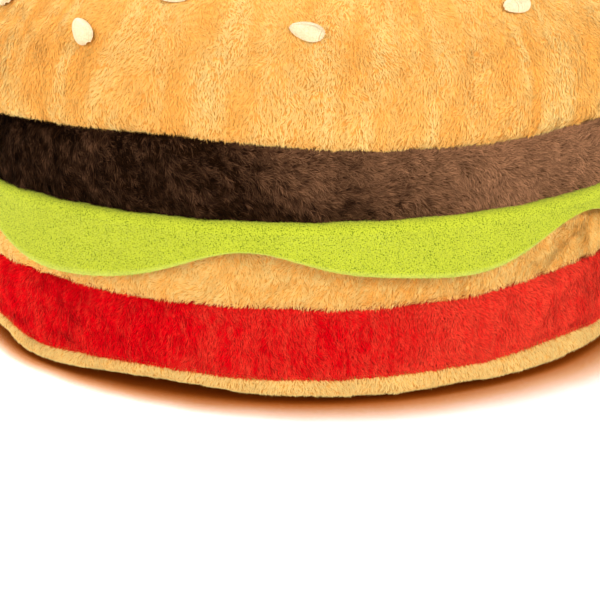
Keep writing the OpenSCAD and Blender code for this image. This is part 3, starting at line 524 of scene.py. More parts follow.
class Nodes:
    """The nodes of a material or of the sky, and a short way to add more."""

    def __init__(self, owner):
        owner.use_nodes = True
        self.tree = owner.node_tree

    def feed(self, socket, value):
        """Link a node's output to a socket, or set the socket's own value."""
        if isinstance(value, bpy.types.NodeSocket):
            self.tree.links.new(value, socket)
        else:
            socket.default_value = value

    def node(self, kind, inputs=None, **settings):
        made = self.tree.nodes.new(kind)
        for key, value in settings.items():
            setattr(made, key, value)
        for key, value in (inputs or {}).items():
            self.feed(made.inputs[key], value)
        return made

    def maths(self, how, first, second):
        return self.node("ShaderNodeMath", {0: first, 1: second}, operation=how).outputs[0]

    def seen(self):
        """1 for rays from the eye, from a mirror or through glass, and 0 for light on its way elsewhere."""
        path = self.node("ShaderNodeLightPath")
        direct = self.maths("MAXIMUM", path.outputs["Is Camera Ray"], path.outputs["Is Glossy Ray"])
        return self.maths("MAXIMUM", direct, path.outputs["Is Transmission Ray"])


print("mid grey is", [round(c, 2) for c in srgb(128, 128, 128)[:3]], "to a shader")

# %% [markdown]
# A finish is a material that is made of patterns: noise in the object's own coordinates, colour
# ramps, and numbers that the mesh's points were marked with. Coordinates of the object move with
# it, so the pattern stays in place when the lid opens.

# %% Finishes
class Finish(Nodes):
    """A material whose shader gets patterns in the object's own coordinates."""

    def __init__(self, name):
        self.material = bpy.data.materials.new(name)
        super().__init__(self.material)
        self.shader = self.tree.nodes["Principled BSDF"]

    def place(self):
        return self.node("ShaderNodeTexCoord").outputs["Object"]

    def kept(self, mark_name, output="Fac"):
        """What the mesh's points were marked with."""
        return self.node("ShaderNodeAttribute", attribute_name=mark_name).outputs[output]

    def noise(self, size, detail=2.0, rough=0.5, stretch=None):
        """Noise whose features are about size metres across."""
        spot = self.place()
        if stretch:
            spot = self.node("ShaderNodeMapping", {"Vector": spot, "Scale": stretch}).outputs[0]
        inputs = {"Vector": spot, "Scale": 1 / size, "Detail": detail, "Roughness": rough}
        return self.node("ShaderNodeTexNoise", inputs).outputs["Fac"]

    def ramp(self, value, *stops):
        """A colour for each value, blended between stops: each is a position and a colour."""
        made = self.node("ShaderNodeValToRGB", {"Fac": value})
        elements = made.color_ramp.elements
        while len(elements) < len(stops):
            elements.new(0.5)
        for element, (position, colour) in zip(elements, stops):
            element.position = position
            element.color = colour
        return made.outputs["Color"]

    def mix(self, share, first, second, how="MIX"):
        sockets = {0: share, 6: first, 7: second}
        return self.node("ShaderNodeMix", sockets, data_type="RGBA", blend_type=how).outputs[2]

    def times(self, colour, factor):
        return self.mix(1.0, colour, factor, "MULTIPLY")

    def range(self, value, low, high):
        """Stretch a value from 0..1 to low..high."""
        stretched = self.node("ShaderNodeMapRange", {"Value": value, "To Min": low, "To Max": high})
        return stretched.outputs["Result"]

    def set(self, **values):
        """Shader values, such as Roughness=0.5: one for the whole surface, or another node's output."""
        for key, value in values.items():
            self.feed(self.shader.inputs[key.replace("_", " ")], value)

    def bump(self, height, depth, strength=1.0):
        made = self.node("ShaderNodeBump", {"Height": height, "Strength": strength, "Distance": depth})
        self.set(Normal=made.outputs[0])


print("a finish has", len([word for word in vars(Finish) if not word.startswith("_")]), "words of its own")

# %% [markdown]
# ## The backing cloth
#
# Under the pile lies a knitted backing. It is a grid laid on the cover, a little inside its outline,
# coloured as the painted shade that shows between fibres: darker than its pile, and darker still in the
# dips of its knit. Where the hinge and the rear plate come through, faces are left out. Two covers are sewn
# together through their hems: each cloth turns inward at the seam, and the hems lie against each other, so
# no gap opens in the groove.

# %% Backing
pile_sink = 0.5 * mm


def backing(name, cover, material, columns=480, rows=28, hole=None, hems=(True, True), hem=1.2 * mm):
    """The cloth that the pile stands on. hems says whether its lower and its upper edge turn inward."""
    azimuth, along, faces = ring_grid(cover, columns, rows)
    points = cover.place(azimuth, along, np.full(len(azimuth), -pile_sink))
    for turned_in, edge in zip(hems, (0, rows - 1)):
        if turned_in:
            ring = np.arange(edge, len(points), rows)
            seam = cover.place(azimuth[ring], along[ring], np.zeros(columns))
            seam[:, :2] *= 1 - hem / np.hypot(seam[:, 0], seam[:, 1])[:, None]
            points[ring] = seam
    if hole is not None:
        faces = faces[~hole(points[faces].mean(1))]
    piece = new_mesh(name, points, faces, material, map_of(cover, azimuth, along))
    # the brushed mark carries the cover's painted shade and painted sheen
    mark(piece, "brushed", cover.brushed(azimuth, points))
    print(name, len(faces), "faces")
    return piece


def backing_finish(name, bright, deep):
    """Knitted backing, seen only between fibres: its colours are painted shade, and the dips of its knit
    are painted darker still.
    """
    f = Finish(name)
    knit = f.noise(0.5 * mm, 3.0)
    # the knit's dips are painted darker, as painted shade, and the brushed mark brings the cover's painted
    # light
    loops = f.ramp(knit, (0.3, (0.7, 0.7, 0.7, 1)), (0.7, (1, 1, 1, 1)))
    colour = f.times(f.mix(f.kept("brushed"), deep, bright), loops)
    f.set(Base_Color=colour, Roughness=1.0, Specular_IOR_Level=0.05)
    f.bump(knit, 0.2 * mm)
    return f.material


print("the pile's roots lie", pile_sink / mm, "mm deep")

# %% [markdown]
# ## Where fibres stand, and how they gather
#
# Fibres are scattered evenly over the cloth's area, so a wide part of a cover gets more of them
# than its pole. Tufts are worked out from a grid of cells, each with a middle that is moved at
# random: a fibre belongs to the nearest middle, as in cracked mud.

# %% Scatter and tufts
def scatter(cover, count, random, low=0.0, high=1.0):
    """Places spread evenly over a cover's area: azimuths and lengths along the outline."""
    ladder = np.linspace(low * cover.length, high * cover.length, 400)
    weight = np.cumsum(np.maximum(cover.flat(ladder)[0], 0))
    along = np.interp(random.uniform(0, weight[-1], count), weight, ladder)
    return random.uniform(-np.pi, np.pi, count), along


def clumped(azimuth, along, cell, seed):
    """For each place, the middle of the tuft that it belongs to, as an azimuth and a length, and the
    tuft's own random number from 0 to 1."""
    across, up = azimuth * burger_r / cell, along / cell
    best = np.full(len(azimuth), np.inf)
    middle = np.zeros((len(azimuth), 2))
    own = np.zeros(len(azimuth))
    for di, dk in itertools.product((-1, 0, 1), repeat=2):
        i, k = np.floor(across).astype(np.int64) + di, np.floor(up).astype(np.int64) + dk
        key = (i * 73856093 ^ k * 19349663 ^ seed * 83492791) & 0x7FFFFFFF
        jitter = np.stack([(key * 1103515245 >> 8) % 1000, (key * 12820163 >> 7) % 1000], 1) / 1000
        spot = np.stack([i, k], 1) + jitter
        gap = np.hypot(spot[:, 0] - across, spot[:, 1] - up)
        nearer = gap < best
        best[nearer] = gap[nearer]
        middle[nearer] = spot[nearer]
        own[nearer] = ((key * 40503 >> 9) % 1000)[nearer] / 1000
    return middle[:, 0] * cell / burger_r, middle[:, 1] * cell, own


print("tufts of 1 mm:", round((2 * np.pi * burger_r / mm) * patty.length / mm), "on the patty")

# %% [markdown]
# ## The pile
#
# Plush is a forest of cut fibres that all lean the same way until a hand brushes them. Particle
# hair would make them quickly, but it isn't kept when the model is exported, so each fibre here
# is a real, very thin sliver: one triangle for short pile, and a bent kite of two where it stands
# up over a seam. They are laid in the cover's own terms. The nap is the direction in which a
# fibre lies. Noise combs it: neighbouring fibres lean alike, and patches a few millimetres across
# lean differently, which is what makes plush look brushed. Pile also clumps, so tips are pulled
# together over small cells.
#
# The tone follows the same story. Fibres that lie side by side catch the light alike, so darker
# and paler strands run along the nap.

# %% Strands
comb_turn = 1.6


def strand_tones(cover, azimuth, along, nap, wide_bend, wide, streak, swirl, seed):
    """How much paler or darker each fibre is than its cover. streak is the strands' width, length and
    strength, and swirl the size of the tufts in which they turn with the comb."""
    strand_width, strand_length, strength = streak
    x, y, way, tuft = azimuth * burger_r, along, nap, np.zeros(len(along))
    if swirl:
        middle_azimuth, middle_along, tuft = clumped(azimuth, along, swirl, seed + 50)
        x, y = (azimuth - middle_azimuth) * burger_r, along - middle_along
        way = way + comb_turn * wide_bend * wide
    ahead, beside = x * np.cos(way) + y * np.sin(way), y * np.cos(way) - x * np.sin(way)
    beside = beside + 1.2 * strand_width * wide
    spots = np.stack([ahead / strand_length + 97 * tuft, beside / strand_width, np.zeros(len(along))], 1)
    return strength * smooth_noise(spots, 1.0, cover.seed + 26)


# %% [markdown]
# A flat sliver would glitter like foil. Each one is shaded as the round fibre that it stands for,
# by giving it normals that point away from its axis, as near to straight out of the cloth as they
# can. The same direction is kept as the mark "away", because a sliver that shows its back would
# otherwise be shaded from inside the burger. A sliver that faces inward gets its corners in the
# other order.

# %% Slivers
def fibre_normals(root, tip, out, round_off, random):
    """A direction out of each fibre, rolled a little to one side as on a round fibre."""
    axis = unit(tip - root)
    away = unit(out - axis * (out * axis).sum(1, keepdims=True))
    beside = np.cross(axis, away)
    roll = round_off * random.uniform(-1, 1, (len(root), 1))
    return unit(away * np.cos(roll) + beside * np.sin(roll) + 0.4 * out)


def sliver_mesh(name, cover, material, places, corners, joints, normal, out):
    """The mesh of many equal slivers, with its map and its normals, all facing out of the cloth."""
    count, size = len(normal), len(corners)
    points, faces = np.stack(corners, 1), np.array(joints)
    first, second, third = (points[:, faces[0, corner]] for corner in range(3))
    inward = (np.cross(second - first, third - first) * out).sum(1) < 0
    each = np.where(inward[:, None, None], faces[None, :, ::-1], faces[None])
    each = (each + size * np.arange(count)[:, None, None]).reshape(-1, 3)
    uv = np.repeat(map_of(cover, *places) * [0.998, 0.98] + [0.001, 0.01], size, axis=0)
    uv += np.tile(np.array([[0, 0], [-1, 1], [1, 1], [0, 2]])[:size] * [0.0002, 0.002], (count, 1))
    normals = np.repeat(normal, size, axis=0)
    piece = new_mesh(name, points.reshape(-1, 3), each, material, uv, normals)
    mark(piece, "away", normals)
    return piece


# %% [markdown]
# Now a whole pile can be laid. Each fibre leans out of the cloth at its own angle, and on top of
# the burger, where hands rest, the pile is pressed flatter.

# %% Pile
def pile(name, cover, material, count, length, width, lean, nap, comb=(0.5, 0.5), stray=0.25, bent=False,
         clump=None, streak=None, swirl=None, round_off=0.35, sink=pile_sink, low=0.0, high=1.0, hole=None,
         seed=1):
    """Fibres on a cover. lean is their angle out from the cloth and nap the direction they lie in, both in
    degrees, where a nap of 0 runs to the right and 90 runs up. comb bends the nap over wide and narrow
    patches, and stray is each fibre's own disorder, in radians. clump is a tuft's size, how strongly it
    gathers its tips and how much its tone is its own. streak and swirl are as for strand_tones."""
    random = np.random.default_rng(seed)
    azimuth, along = scatter(cover, count, random, low, high)
    root = cover.place(azimuth, along, np.full(count, -sink))
    if hole is not None:
        kept = ~hole(root)
        azimuth, along, root = azimuth[kept], along[kept], root[kept]
        count = len(azimuth)
    radius = np.maximum(np.hypot(root[:, 0], root[:, 1]), 3 * mm)
    out = cover.outward(azimuth, along)

    nap = math.radians(nap)
    wide = smooth_noise(root, 13 * mm, cover.seed + 20)
    narrow = smooth_noise(root, 2.2 * mm, cover.seed + 23)
    angle = nap + comb_turn * (comb[0] * wide + comb[1] * narrow)
    angle += stray * random.normal(size=count)
    # the brushed tone carries the cover's painted light: painted shade on the left of the front, painted
    # sheen on its right, and the heel's painted highlight
    brushed = cover.brushed(azimuth, root)
    if streak:
        tones = strand_tones(cover, azimuth, along, nap, comb[0], wide, streak, swirl, seed)
        brushed = np.clip(brushed + tones, 0, 1)

    rise = math.radians(lean) * (1 + 0.5 * smooth_noise(root, 1.7 * mm, seed + 9))
    rise += 0.1 * random.normal(size=count)
    rise *= 1 - 0.8 * np.clip((out[:, 2] - 0.5) / 0.35, 0, 1)
    long = length * random.uniform(0.7, 1.2, count)
    run, up = long * np.cos(rise), long * np.sin(rise)
    tip_across, tip_along = run * np.cos(angle), run * np.sin(angle)
    if clump:
        cell, pull, own_tone = clump
        middle_azimuth, middle_along, own = clumped(azimuth, along, cell, seed)
        brushed = np.clip(brushed + own_tone * (own - 0.5), 0, 1)
        tip_across += pull * turned(middle_azimuth, azimuth) * radius
        tip_along += pull * (middle_along - along)

    half = 0.5 * width * random.uniform(0.8, 1.2, count)
    side_across, side_along = -half * np.sin(angle), half * np.cos(angle)

    def at(across, more, height):
        return cover.place(azimuth + across / radius, along + more, height - sink)

    tip = at(tip_across, tip_along, up)
    if bent:
        # the middle stands higher than halfway, so that each fibre bends over
        across, more = 0.42 * tip_across, 0.42 * tip_along
        left, right = [at(across + s * side_across, more + s * side_along, 0.64 * up) for s in (1, -1)]
        corners, joints, rises = [root, right, left, tip], [[0, 1, 2], [1, 3, 2]], [0.0, 0.5, 0.5, 1.0]
    else:
        left, right = [at(s * side_across, s * side_along, 0.0 * up) for s in (1, -1)]
        corners, joints, rises = [right, left, tip], [[0, 2, 1]], [0.0, 0.0, 1.0]
    normal = fibre_normals(root, tip, out, round_off, random)
    piece = sliver_mesh(name, cover, material, (azimuth, along), corners, joints, normal, out)
    mark(piece, "tip", np.tile(rises, count))
    mark(piece, "brushed", np.repeat(brushed, len(corners)))
    return piece


# %% [markdown]
# ## Plush as a material
#
# Each fibre has a tone of its own, and brushed patches are lighter or deeper. On the patty and the tomato
# the same brushed mark carries painted light: painted shade on the left of the front and painted sheen on
# its right, and on the heel a painted highlight. Fibres are painted darker at the root, as painted shade
# where little light gets in. A soft sheen gives the bright rim that velvet and plush show where they turn
# away. The marks "brushed", "tip" and "away" carry all this from the mesh to the shader.

# %% Fibres
def fibre_finish(name, bright, deep, tone, root, sheen=0.0):
    """Plush fibres: bright and deep are the two tones that the brushed mark mixes, so they also carry its
    painted shade and painted sheen; tone is how much fibres differ, and root is the tint of painted shade
    at the root."""
    f = Finish(name)
    own = f.node("ShaderNodeNewGeometry").outputs["Random Per Island"]
    # brushed mixes deep and bright, with its painted shade and painted sheen; tip paints shade at the root
    colour = f.times(f.mix(f.kept("brushed"), deep, bright), f.range(own, 1 - tone / 2, 1 + tone / 2))
    depth = f.ramp(f.kept("tip"), (0.0, root + (1,)), (0.6, (1, 1, 1, 1)))
    away = f.node("ShaderNodeVectorTransform", {"Vector": f.kept("away", "Vector")}, vector_type="NORMAL",
                  convert_from="OBJECT", convert_to="WORLD").outputs[0]
    f.set(Base_Color=f.times(colour, depth), Roughness=0.9, Specular_IOR_Level=0.03, Sheen_Weight=sheen,
          Sheen_Roughness=0.5, Sheen_Tint=bright, Normal=away)
    return f.material


print("materials so far:", len(bpy.data.materials))

# %% [markdown]
# The buns are a warm tan whose brushed patches turn orange. The patty goes from nearly black brown, deep
# between its fibres, to a dusty light brown, and its fibres differ most. The tomato is one strong red. On
# the patty and the tomato, the deep tone is also painted shade on the left of the front and the bright tone
# painted sheen on its right.

# %% Plush colours
bun_bright, bun_deep = srgb(255, 212, 130), srgb(252, 181, 88)
patty_bright, patty_deep = srgb(162, 113, 79), srgb(31, 14, 3)
tomato_bright, tomato_deep = srgb(255, 72, 50), srgb(240, 0, 18)

bun_fibres = fibre_finish("bun_plush", bun_bright, bun_deep, tone=0.2, root=(1.0, 0.78, 0.55), sheen=0.06)
patty_fibres = fibre_finish("patty_plush", patty_bright, patty_deep, tone=1.3, root=(0.27, 0.23, 0.2),
                            sheen=0.02)
patty_fringe = fibre_finish("patty_fringe", patty_bright, patty_deep, tone=0.8, root=(0.9, 0.9, 0.9),
                            sheen=0.02)
tomato_fibres = fibre_finish("tomato_plush", tomato_bright, tomato_deep, tone=0.4, root=(0.75, 0.4, 0.5))
# backings are darker copies of the plush: painted shade between fibres
bun_backing = backing_finish("bun_backing", srgb(250, 176, 84), srgb(240, 150, 60))
patty_backing = backing_finish("patty_backing", shade(patty_bright, 0.2), shade(patty_deep, 0.3))
tomato_backing = backing_finish("tomato_backing", shade(tomato_bright, 0.6), shade(tomato_deep, 0.6))
print("plush finishes:", [m.name for m in bpy.data.materials if "plush" in m.name])

# %% [markdown]
# ## Where the plush is cut away
#
# At the rear, the hinge block and the plate with the line socket come through the base's plush,
# and the lid's hinge arm comes through the patty. The cloth and its fibres are left out there.

# %% Cut-outs
plate_low, plate_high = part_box("rear_plate")
hinge_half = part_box("hinge_pin")[1][0]
arm_half = 10.5 * mm


def rear_gap(points):
    """True where the hinge block or the rear plate comes through the base's plush."""
    x, y, z = np.abs(points[:, 0]), points[:, 1], points[:, 2]
    hinge = (x < hinge_half + 0.3 * mm) & (z > plate_high[2] + 1.6 * mm) & (z < middle_high[2] - 1.5 * mm)
    plate = (x < plate_high[0] + 0.8 * mm) & (z > plate_low[2] - 0.5 * mm) & (z < plate_high[2] + 0.5 * mm)
    return (y > 0) & (hinge | plate)


def arm_gap(points):
    """True where the lid's hinge arm comes through the patty."""
    x, y, z = np.abs(points[:, 0]), points[:, 1], points[:, 2]
    return (y > 0) & (x < arm_half - 0.3 * mm) & (z < patty_low[2] + 7.5 * mm)


print("the plate's cut-out is", round(2 * (plate_high[0] / mm + 0.8), 1), "mm wide")

# %% [markdown]
# ## Dressing the covers
#
# Each cover gets its backing and its pile. A piece is then told which body it rides with, and which packed
# nodes it stands for.

# %% Fitting and dressing
def fitted(piece, body, slot, *nodes):
    """Let a piece ride with its body, in place of packed nodes."""
    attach(piece, body)
    if nodes:
        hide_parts(*nodes)
    return piece


def plush(cover_name, cover, fibres, body, slot, piles, cloth=None, hole=None, rows=28, hems=(True, True)):
    """A cover's backing, if it has one, and its piles."""
    made = []
    if cloth:
        ground = backing(cover_name + "_backing", cover, cloth, rows=rows, hole=hole, hems=hems)
        made.append(fitted(ground, body, slot, cover_name + "_cover"))
    for number, part in enumerate(piles, 1):
        fur = pile(f"{cover_name}_pile_{number}", cover, fibres, **{"hole": hole, **part})
        made.append(fitted(fur, body, slot))
    print(cover_name, sum(len(piece.data.polygons) for piece in made), "faces")


# %% [markdown]
# The crown's sides have short fine pile. Over its shoulder, longer and coarser pile takes over,
# which needs fewer fibres for the same cover. A straight border between the two would show, so it
# is ragged: noise decides for each fibre. Wide streaks of paler and deeper tan run down the
# crown, as a hand leaves them.

# %% Crown
shoulder_z = crown.flat(np.array([0.42 * crown.length]))[1][0]
shoulder_rag = 4 * mm


def above_shoulder(points):
    """True above a ragged line round the crown."""
    return points[:, 2] > shoulder_z + shoulder_rag * smooth_noise(points, 0.5 * mm, 77)


def below_shoulder(points):
    return ~above_shoulder(points)


crown_streak = 2.2 * mm, 12 * mm, 0.8
plush("crown", crown, bun_fibres, "lid", "tan_plush", [
    dict(count=214000, length=1.0 * mm, width=0.21 * mm, lean=20, nap=-95, comb=(0.4, 0.5), stray=0.35,
         clump=(0.6 * mm, 0.4, 0.15), streak=crown_streak, low=0.004, high=0.52, hole=above_shoulder,
         seed=21),
    dict(count=232000, length=1.3 * mm, width=0.28 * mm, lean=18, nap=-95, comb=(0.45, 0.3),
         clump=(0.8 * mm, 0.3, 0.15), streak=crown_streak, low=0.32, hole=below_shoulder, seed=22),
], cloth=bun_backing, rows=90, hems=(True, False))

# %% [markdown]
# The patty has the longest pile, lying almost level and gathered into fine curly strands. Its
# upper edge also gets a fringe of bent fibres that stand up over the seam, against the crown.

# %% Patty
plush("patty", patty, patty_fibres, "lid", "brown_plush", [
    dict(count=190000, length=1.6 * mm, width=0.17 * mm, lean=26, nap=-15, comb=(0.5, 0.7), stray=0.4,
         clump=(0.5 * mm, 0.45, 0.2), streak=(0.34 * mm, 1.7 * mm, 0.34), swirl=5 * mm, low=-0.015,
         seed=23),
], cloth=patty_backing, hole=arm_gap)
plush("patty_top", patty, patty_fringe, "lid", "brown_plush", [
    dict(count=14000, length=1.2 * mm, width=0.12 * mm, lean=35, nap=75, comb=(0.5, 0.4), stray=0.5,
         bent=True, low=0.95, seed=27),
])

# %% [markdown]
# The middle bun, the tomato and the heel are short pile, brushed down. The middle bun's is the
# most ruffled, because the lettuce rubs on it.

# %% Middle bun, tomato and heel
plush("middle_bun", middle, bun_fibres, "base", "tan_plush", [
    dict(count=140000, length=0.9 * mm, width=0.15 * mm, lean=24, nap=-125, comb=(0.3, 0.9), stray=0.3,
         clump=(0.55 * mm, 0.55, 0.4), streak=(0.6 * mm, 1.6 * mm, 0.4), seed=24),
], cloth=bun_backing, hole=rear_gap, hems=(True, False))
plush("tomato", tomato, tomato_fibres, "base", "red_plush", [
    dict(count=170000, length=0.9 * mm, width=0.14 * mm, lean=26, nap=-90, comb=(0.3, 0.6), stray=0.3,
         clump=(0.5 * mm, 0.5, 0.4), streak=(0.5 * mm, 2.5 * mm, 0.4), low=-0.015, seed=25),
], cloth=tomato_backing, hole=rear_gap)
plush("heel", heel, bun_fibres, "base", "tan_plush", [
    dict(count=70000, length=1.0 * mm, width=0.19 * mm, lean=22, nap=-90, comb=(0.3, 0.4),
         clump=(0.6 * mm, 0.4, 0.15), low=0.5, seed=26),
], cloth=bun_backing, hems=(False, True))

# %% [markdown]
# ## The lettuce
#
# The lettuce is one strip of thick felt. Its upper edge is caught in the seam under the patty, it
# bends over the rim, and it hangs with a wavy cut hem. Felt is too stiff to fold over so short a
# drop, so it is modelled as it was cut: a line from root to hem, with thickness on both sides and
# a hem rounded by the knife. It stays open at the rear, where the hinge is.

# %% Lettuce measures
lettuce_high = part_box("lettuce_flap")[1]
felt_t = 1.2 * mm
felt_top = lettuce_high[2]
felt_hang_z = felt_top - 1.9 * mm
felt_side_r = lettuce_high[0] - felt_t * 0.5 - 0.3 * mm
felt_sewn_in = 4.4 * mm
felt_bend_r = 1.3 * mm
felt_open = math.asin((hinge_half + 3 * mm) / felt_side_r)
wave_count, wave_lag, wave_skew = 7, math.radians(8), math.radians(20)
wave_middle, wave_half = 8.4 * mm, 3.8 * mm
strays = (-0.75, 0.22, -1.0 * mm), (-0.16, 0.2, -0.9 * mm), (0.22, 0.16, 1.3 * mm), (0.85, 0.25, 0.6 * mm)


def hem_height(azimuth):
    """Height of the cut edge: skewed waves, and a few places where the scissors strayed."""
    w = wave_count * (azimuth + wave_lag)
    hem = felt_top - wave_middle + wave_half * np.cos(w + wave_skew * np.sin(w))
    hem = hem + 0.5 * mm * np.sin(2 * azimuth + math.radians(40))
    for direction, width, lift in strays:
        hem = hem + lift * hump(azimuth - direction, width)
    return hem


print("the felt stays open for", round(math.degrees(2 * felt_open)), "degrees at the rear")

# %% [markdown]
# The felt is a cover too, of its own kind: it flares out a little towards its hem, and its outer
# face is upright. So the same pile can be laid on it later. The cross-section through it is a
# list of rings of points, from the seam out over the bend and down to the hem, first along its
# upper and outer face and then back along the other.

# %% Lettuce shape
class Felt(Cover):
    """The felt's hanging part. along runs down from the bend to the hem."""

    def place(self, azimuth, along, out):
        share = along / self.length
        hem = hem_height(azimuth)
        z = felt_hang_z + (hem - felt_hang_z) * share
        flare = (0.25 * mm + 0.06 * (felt_hang_z - hem)) * np.clip(share, 0, 1.2) ** 1.5
        spot = spun(felt_side_r, azimuth, z)
        return spun(felt_side_r + flare + out + 0.22 * mm * smooth_noise(spot, 12 * mm, 7), azimuth, z)

    def outward(self, azimuth, along):
        return spun(np.ones(len(azimuth)), azimuth, np.zeros(len(azimuth)))


felt_line = np.stack([np.full(12, felt_side_r), np.linspace(felt_hang_z, felt_top - 9 * mm, 12)], 1)
felt = Felt(felt_line, no_seam, no_seam)


def felt_rings(azimuth, out):
    """Rings of points from root to hem, at a height out from the middle of the felt's thickness."""
    rings = []
    centre_r, centre_z = felt_side_r - felt_bend_r, felt_top - felt_t / 2 - felt_bend_r
    for r in np.linspace(felt_side_r - felt_sewn_in, centre_r, 5)[:-1]:
        rings.append(spun(r, azimuth, np.full(len(azimuth), felt_top - felt_t / 2 + out)))
    for turn in np.linspace(0, math.pi / 2, 6)[:-1]:
        r = centre_r + (felt_bend_r + out) * math.sin(turn)
        z = centre_z + (felt_bend_r + out) * math.cos(turn)
        rings.append(spun(r, azimuth, np.full(len(azimuth), z)))
    for along in np.linspace(0, felt.length - 0.5 * mm, 16):
        rings.append(felt.place(azimuth, np.full(len(azimuth), along), np.full(len(azimuth), out)))
    return rings


columns = 900
azimuth = np.linspace(-math.pi + felt_open, math.pi - felt_open, columns)
outer, inner = felt_rings(azimuth, felt_t / 2), felt_rings(azimuth, -felt_t / 2)
hem_middle = felt.place(azimuth, np.full(columns, felt.length), np.zeros(columns))
hem_drop = hem_middle - 0.5 * outer[-1] - 0.5 * inner[-1]
hem_out, hem_in = (0.5 * hem_middle + 0.5 * face[-1] + hem_drop * 0.45 for face in (outer, inner))
loop = outer + [hem_out, hem_middle, hem_in] + inner[::-1]
rows = len(loop)
rungs = np.arange(len(outer))


def felt_end(first):
    """The faces that close the strip at one of its ends."""
    far = first + rows - 1 - rungs
    return np.stack([first + rungs, first + rungs + 1, far - 1, far], 1)


felt_faces = np.vstack([quads(columns, rows, loop=True)[:, ::-1], felt_end(0),
                        felt_end((columns - 1) * rows)[:, ::-1]])
print("lettuce:", len(felt_faces), "faces")

# %% [markdown]
# Felt is pressed fibre with no weave. Close to, it is a fine speckle of paler and darker fibres, whose
# small pits are painted darker, partly their own tone and partly painted shade, and a fuzz of loose ends
# stands off its face and its hem. The fuzz is the same pile as before, very short, with no nap. The cut hem
# is painted paler: a painted highlight where its rounded edge catches the light.

# %% Lettuce finish
leaf, leaf_pale, leaf_pit_shade = srgb(188, 195, 45), srgb(218, 226, 100), srgb(92, 112, 5)
lettuce_felt = Finish("lettuce_felt")
speckle = lettuce_felt.noise(0.2 * mm)
# dark pits: partly the felt's own dark specks, partly painted shade where the bump dips
pressed = lettuce_felt.ramp(speckle, (0.35, leaf_pit_shade), (0.5, leaf))
# the hem mark paints a pale highlight along the cut edge
tones = lettuce_felt.mix(lettuce_felt.kept("hem"), pressed, leaf_pale)
cloudy = lettuce_felt.range(lettuce_felt.noise(6 * mm), 0.95, 1.05)
lettuce_felt.set(Base_Color=lettuce_felt.times(tones, cloudy), Roughness=0.95, Specular_IOR_Level=0.1,
                 Sheen_Weight=0.08, Sheen_Roughness=0.6)
lettuce_felt.bump(speckle, 0.15 * mm, 0.5)
fuzz_finish = fibre_finish("lettuce_fuzz", leaf_pale, shade(leaf, 0.9), tone=0.4, root=(0.9, 0.9, 0.8))
print("the felt's finish has", len(lettuce_felt.tree.nodes), "nodes")

# %% [markdown]
# The felt becomes one mesh, with a mark for the painted highlight along its hem, and its fuzz is laid on
# it. Both ride with the lid, and the felt takes the place of the packed flap.

# %% Lettuce piece
lettuce = new_mesh("lettuce", np.stack(loop, 1).reshape(-1, 3), felt_faces, lettuce_felt.material)
# a painted highlight along the hem, where the rounded cut edge catches the light
hem_highlight = np.zeros(rows)
hem_highlight[len(outer) - 1:len(outer) + 4] = [0.35, 0.9, 1.0, 0.9, 0.35]
mark(lettuce, "hem", np.tile(hem_highlight, columns))


def felt_gap(points):
    """True where the felt stays open for the hinge."""
    return np.abs(np.arctan2(points[:, 0], -points[:, 1])) > math.pi - felt_open


fuzz = pile("lettuce_fuzz", felt, fuzz_finish, count=60000, length=0.4 * mm, width=0.08 * mm, lean=30,
            nap=0, comb=(2, 2), stray=3, sink=-felt_t / 2 + 0.05 * mm, hole=felt_gap, seed=31)
fitted(lettuce, "lid", "green_felt", "lettuce_flap")
fitted(fuzz, "lid", "green_felt")

# %% [markdown]
# ## Sesame seeds in satin stitch
#
# Each seed is embroidered: a glossy thread goes back and forth across the seed, close together,
# over a little padding. So a seed is a row of thread arches that grow and shrink along it. Where
# each seed lies, and which way it points, is read from the packed model's own seeds, and the
# settled crown then lifts or lowers it. First come three tools: one tells a packed node's solids
# apart, by letting each point take the lowest number among its neighbours until nothing changes,
# one makes a round thread along a path, and one joins meshes.

# %% Solids, threads and joints
def solids_of(node):
    """The points of each separate solid of a packed node."""
    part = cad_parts[node]
    spots = np.empty(3 * len(part.data.vertices))
    part.data.vertices.foreach_get("co", spots)
    spots = spots.reshape(-1, 3) @ np.array(part.matrix_world.to_3x3()).T
    spots = spots + np.array(part.matrix_world.translation)
    edges = np.empty(2 * len(part.data.edges), int)
    part.data.edges.foreach_get("vertices", edges)
    key = np.unique(np.round(spots, 6), axis=0, return_inverse=True)[1].ravel()
    group = np.arange(key.max() + 1)
    pairs = key[edges.reshape(-1, 2)]
    before = None
    while before is None or (before != group).any():
        before = group.copy()
        lower = np.minimum(group[pairs[:, 0]], group[pairs[:, 1]])
        np.minimum.at(group, pairs[:, 0], lower)
        np.minimum.at(group, pairs[:, 1], lower)
    labels = group[key]
    return [spots[labels == label] for label in np.unique(labels)]


def tube(path, radius, sides=5):
    """Points and faces of a round thread through a path, with open ends that are sunk out of sight."""
    ahead = unit(np.gradient(path, axis=0))
    first = unit(np.cross(ahead, [0.31, 0.83, 0.47]))
    second = np.cross(ahead, first)
    turn = np.linspace(0, 2 * np.pi, sides, endpoint=False)
    ring = np.cos(turn)[None, :, None] * first[:, None] + np.sin(turn)[None, :, None] * second[:, None]
    return (path[:, None] + radius * ring).reshape(-1, 3), quads(len(path), sides, loop=True, flipped=True)


def join(parts):
    """Several meshes' points and faces as one."""
    points, faces, first = [], [], 0
    for p, f in parts:
        points.append(p)
        faces.append(f + first)
        first += len(p)
    return np.vstack(points), np.vstack(faces)


seeds = solids_of("sesame_seeds")
print("seeds:", len(seeds))

# %% [markdown]
# A seed has its own three directions: along it, across it and out of the crown. Its threads are
# drawn in those and then turned into place. The hand that guides the cloth is never quite even,
# so each thread is a little off its place.

# %% Seeds
stitches, thread_points = 30, 9
seed_half_wide = 1.7 * mm
thread_r = 0.15 * mm


